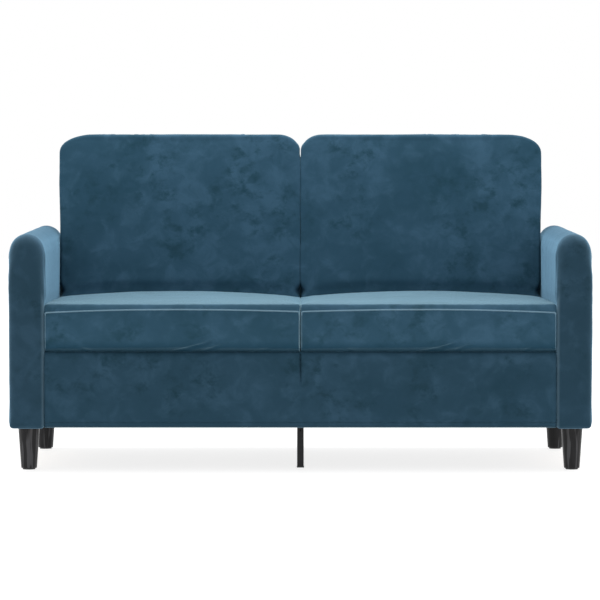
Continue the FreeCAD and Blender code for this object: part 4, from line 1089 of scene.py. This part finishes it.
# ---- build the upholstery
def upholster():
    """Make, blow up and finish the seats, backs and arms."""
    seat_frame, seat_points = seat_lattice()
    back_frame, back_points = back_lattice()
    arm_frame, arm_points = arm_lattice()

    i, j, k = seat_frame.i, seat_frame.j, seat_frame.k
    held = (k == 0) | (j == seat_frame.last(1)) | ((k == seat_frame.last(2)) & (j <= 3))
    held[seat_seam_line(seat_frame)] = True
    seat_held = np.nonzero(held)[0]
    i, j, k = back_frame.i, back_frame.j, back_frame.k
    ring = (i == 0) | (i == back_frame.last(0)) | (k == back_frame.last(2))
    ends = (j == 0) | (j == back_frame.last(1))
    back_held = np.nonzero((ring & ends) | (k == 0))[0]
    back_share = np.where(ends, 1.0, 0.25)
    arm_held = np.nonzero(arm_frame.k <= 1)[0]

    jobs, pieces = [], []
    for side, mirrored in SIDES:
        seat = make_mesh(f"seat_cushion_{side}", seat_points, seat_frame.quads, mirrored)
        back = make_mesh(f"back_cushion_{side}", back_points, back_frame.quads, mirrored)
        arm = make_mesh(f"arm_upholstery_{side}", arm_points, arm_frame.quads, mirrored)
        jobs += [(seat, seat_held, 4, 5 * MM, 1), (back, back_held, 4, 9 * MM, back_share),
                 (arm, arm_held, 3, 3 * MM, 1)]
        pieces.append((side, mirrored, seat, back, arm))
    puff_up(jobs)

    # painted shade bands in the velvet: under the seats' front crease and along the arms' bottom hem
    crease = (DECK + 8 * MM, 27 * MM, 0.85)
    hem = (ARM_LOW.z, 6 * MM, 0.8)
    velvets = (
        velvet_material("velvet_seat", 0.92, 1.0, 0.37, [crease], (0.51, 0.83, 1.0)),
        velvet_material("velvet_back", 1.0, 0.42, 0.22),
        velvet_material("velvet_arm", 0.57, 0.58, 0.45, [hem], (0.38, 0.72, 1.0), edge=True),
        # the welt's colour is painted paler and lighter as a painted highlight on the cord
        velvet_material("velvet_welt", 1.2, 1.0, 0.42, tint=(0.62, 0.86, 1.0), painted_pale=0.45),
    )
    for side, mirrored, seat, back, arm in pieces:
        finish_soft(seat, mirrored, hold_seat, seat_relief, 3 * MM)
        finish_soft(back, mirrored, hold_back, back_relief, 4 * MM)
        finish_soft(arm, mirrored, hold_arm, arm_relief)
        open_underside(arm)
        welt = make_welt(side, mirrored, seat_frame, seat_points)
        for obj, kind, fill in ((seat, "seat", 0.9), (back, "back", 0.8), (arm, "arm", 1.0)):
            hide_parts(f"{kind}_cover_{side}", f"{kind}_foam_{side}")
        for obj, velvet in zip((seat, back, arm, welt), velvets):
            dress([obj], velvet)


def close_the_base():
    """Front and rear panels, dust sheet and staples."""
    # painted shade bands in the velvet: under the seats' crease and along the panel's bottom edge
    creases = [(DECK + 8 * MM, 18 * MM, 0.5), (FRONT_LOW.z, 8 * MM, 0.9)]
    velvet = velvet_material("velvet_base", 0.68, 0.47, 0.26, creases)
    front, rear = make_front_panel(), make_rear_panel()
    ends = [
        end_strips("front_panel_ends", FRONT_HIGH.x, FRONT_LOW.y + 4 * MM, FRONT_LOW.y + 45 * MM),
        end_strips("rear_panel_ends", REAR_HIGH.x, REAR_HIGH.y - 45 * MM, REAR_HIGH.y),
    ]
    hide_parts("base_front_cover", "base_front_padding")
    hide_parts("base_rear_cover")
    dress([front, rear, *ends], velvet)
    dust, size = make_dust_sheet()
    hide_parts("dust_cover")
    dress([dust], spun_cloth())
    dress([make_staples()], bare_steel("staple_wire", (0.62, 0.61, 0.58), 0.35))


def finish_frame():
    """Materials for the CAD pieces whose shape is already right."""
    pine = [grained_wood(f"pine_{axis}", n, (0.36, 0.20, 0.09), (0.68, 0.47, 0.26), 0.62)
            for n, axis in enumerate("xyz")]
    across = ["base_front_rail", "base_rear_rail", "base_spring_rail", "base_corner_blocks"]
    across += left_and_right("back_bottom_rail", "back_top_rail")
    paint_nodes(across, pine[0])
    lengthways = left_and_right("base_side_rail", "arm_top_rail", "arm_bottom_rail")
    paint_nodes(lengthways + ["base_centre_beam"], pine[1])
    paint_nodes(left_and_right("arm_front_post", "arm_rear_post", "back_uprights"), pine[2])
    paint_nodes(left_and_right("arm_panels"), hardboard_material())
    paint_nodes(["seat_deck"], felt_material())
    paint_nodes(left_and_right("back_webbing"), webbing_material())
    paint_nodes(left_and_right("seat_springs"), bare_steel("spring_wire", (0.30, 0.29, 0.28), 0.4))
    plated = ["spring_clips", "leg_plates", "leg_bolts", "wood_screws", "arm_bolts", "back_bolts",
              "washers", "t_nuts"]
    paint_nodes(plated, bare_steel("zinc_steel", (0.66, 0.66, 0.62), 0.32))
    paint_nodes(left_and_right("leg_front", "leg_rear"), black_wood())
    paint_nodes(["centre_leg_tube", "centre_leg_plate"], coated_steel())
    paint_nodes(["leg_glides", "centre_leg_cap"], moulded_plastic())


# ---- stage, lights and camera
def set_stage():
    rows = np.linspace(-FLOOR_REACH, FLOOR_REACH, 9)
    points = [(x, y, 0) for x in rows for y in rows]
    floor = make_mesh("floor", points, grid_faces(len(rows), len(rows)))
    paint(floor, floor_material())

    world = bpy.data.worlds.new("studio")
    bpy.context.scene.world = world
    world.use_nodes = True
    background = world.node_tree.nodes["Background"]
    background.inputs["Color"].default_value = (1, 1, 1, 1)
    background.inputs["Strength"].default_value = 1.0

    light = bpy.data.lights.new("overhead", "AREA")
    light.shape = "RECTANGLE"
    light.size, light.size_y = 4.0, 2.0
    light.energy = 150
    lamp = bpy.data.objects.new("overhead", light)
    lamp.location = (0, 0.7, 3.6)
    bpy.context.scene.collection.objects.link(lamp)


def set_camera():
    camera = bpy.data.cameras.new("camera")
    camera.lens = CAMERA_LENS
    camera.sensor_width = 36
    camera.clip_end = 100
    obj = bpy.data.objects.new("camera", camera)
    obj.location = (-0.001, CAD_BOX[0][1] - CAMERA_DISTANCE, CAMERA_HEIGHT)
    obj.rotation_euler = (math.radians(90) - CAMERA_TILT, 0, 0)
    bpy.context.scene.collection.objects.link(obj)
    bpy.context.scene.camera = obj


bpy.context.scene.view_settings.view_transform = "Standard"
set_camera()
set_stage()
upholster()
close_the_base()
finish_frame()
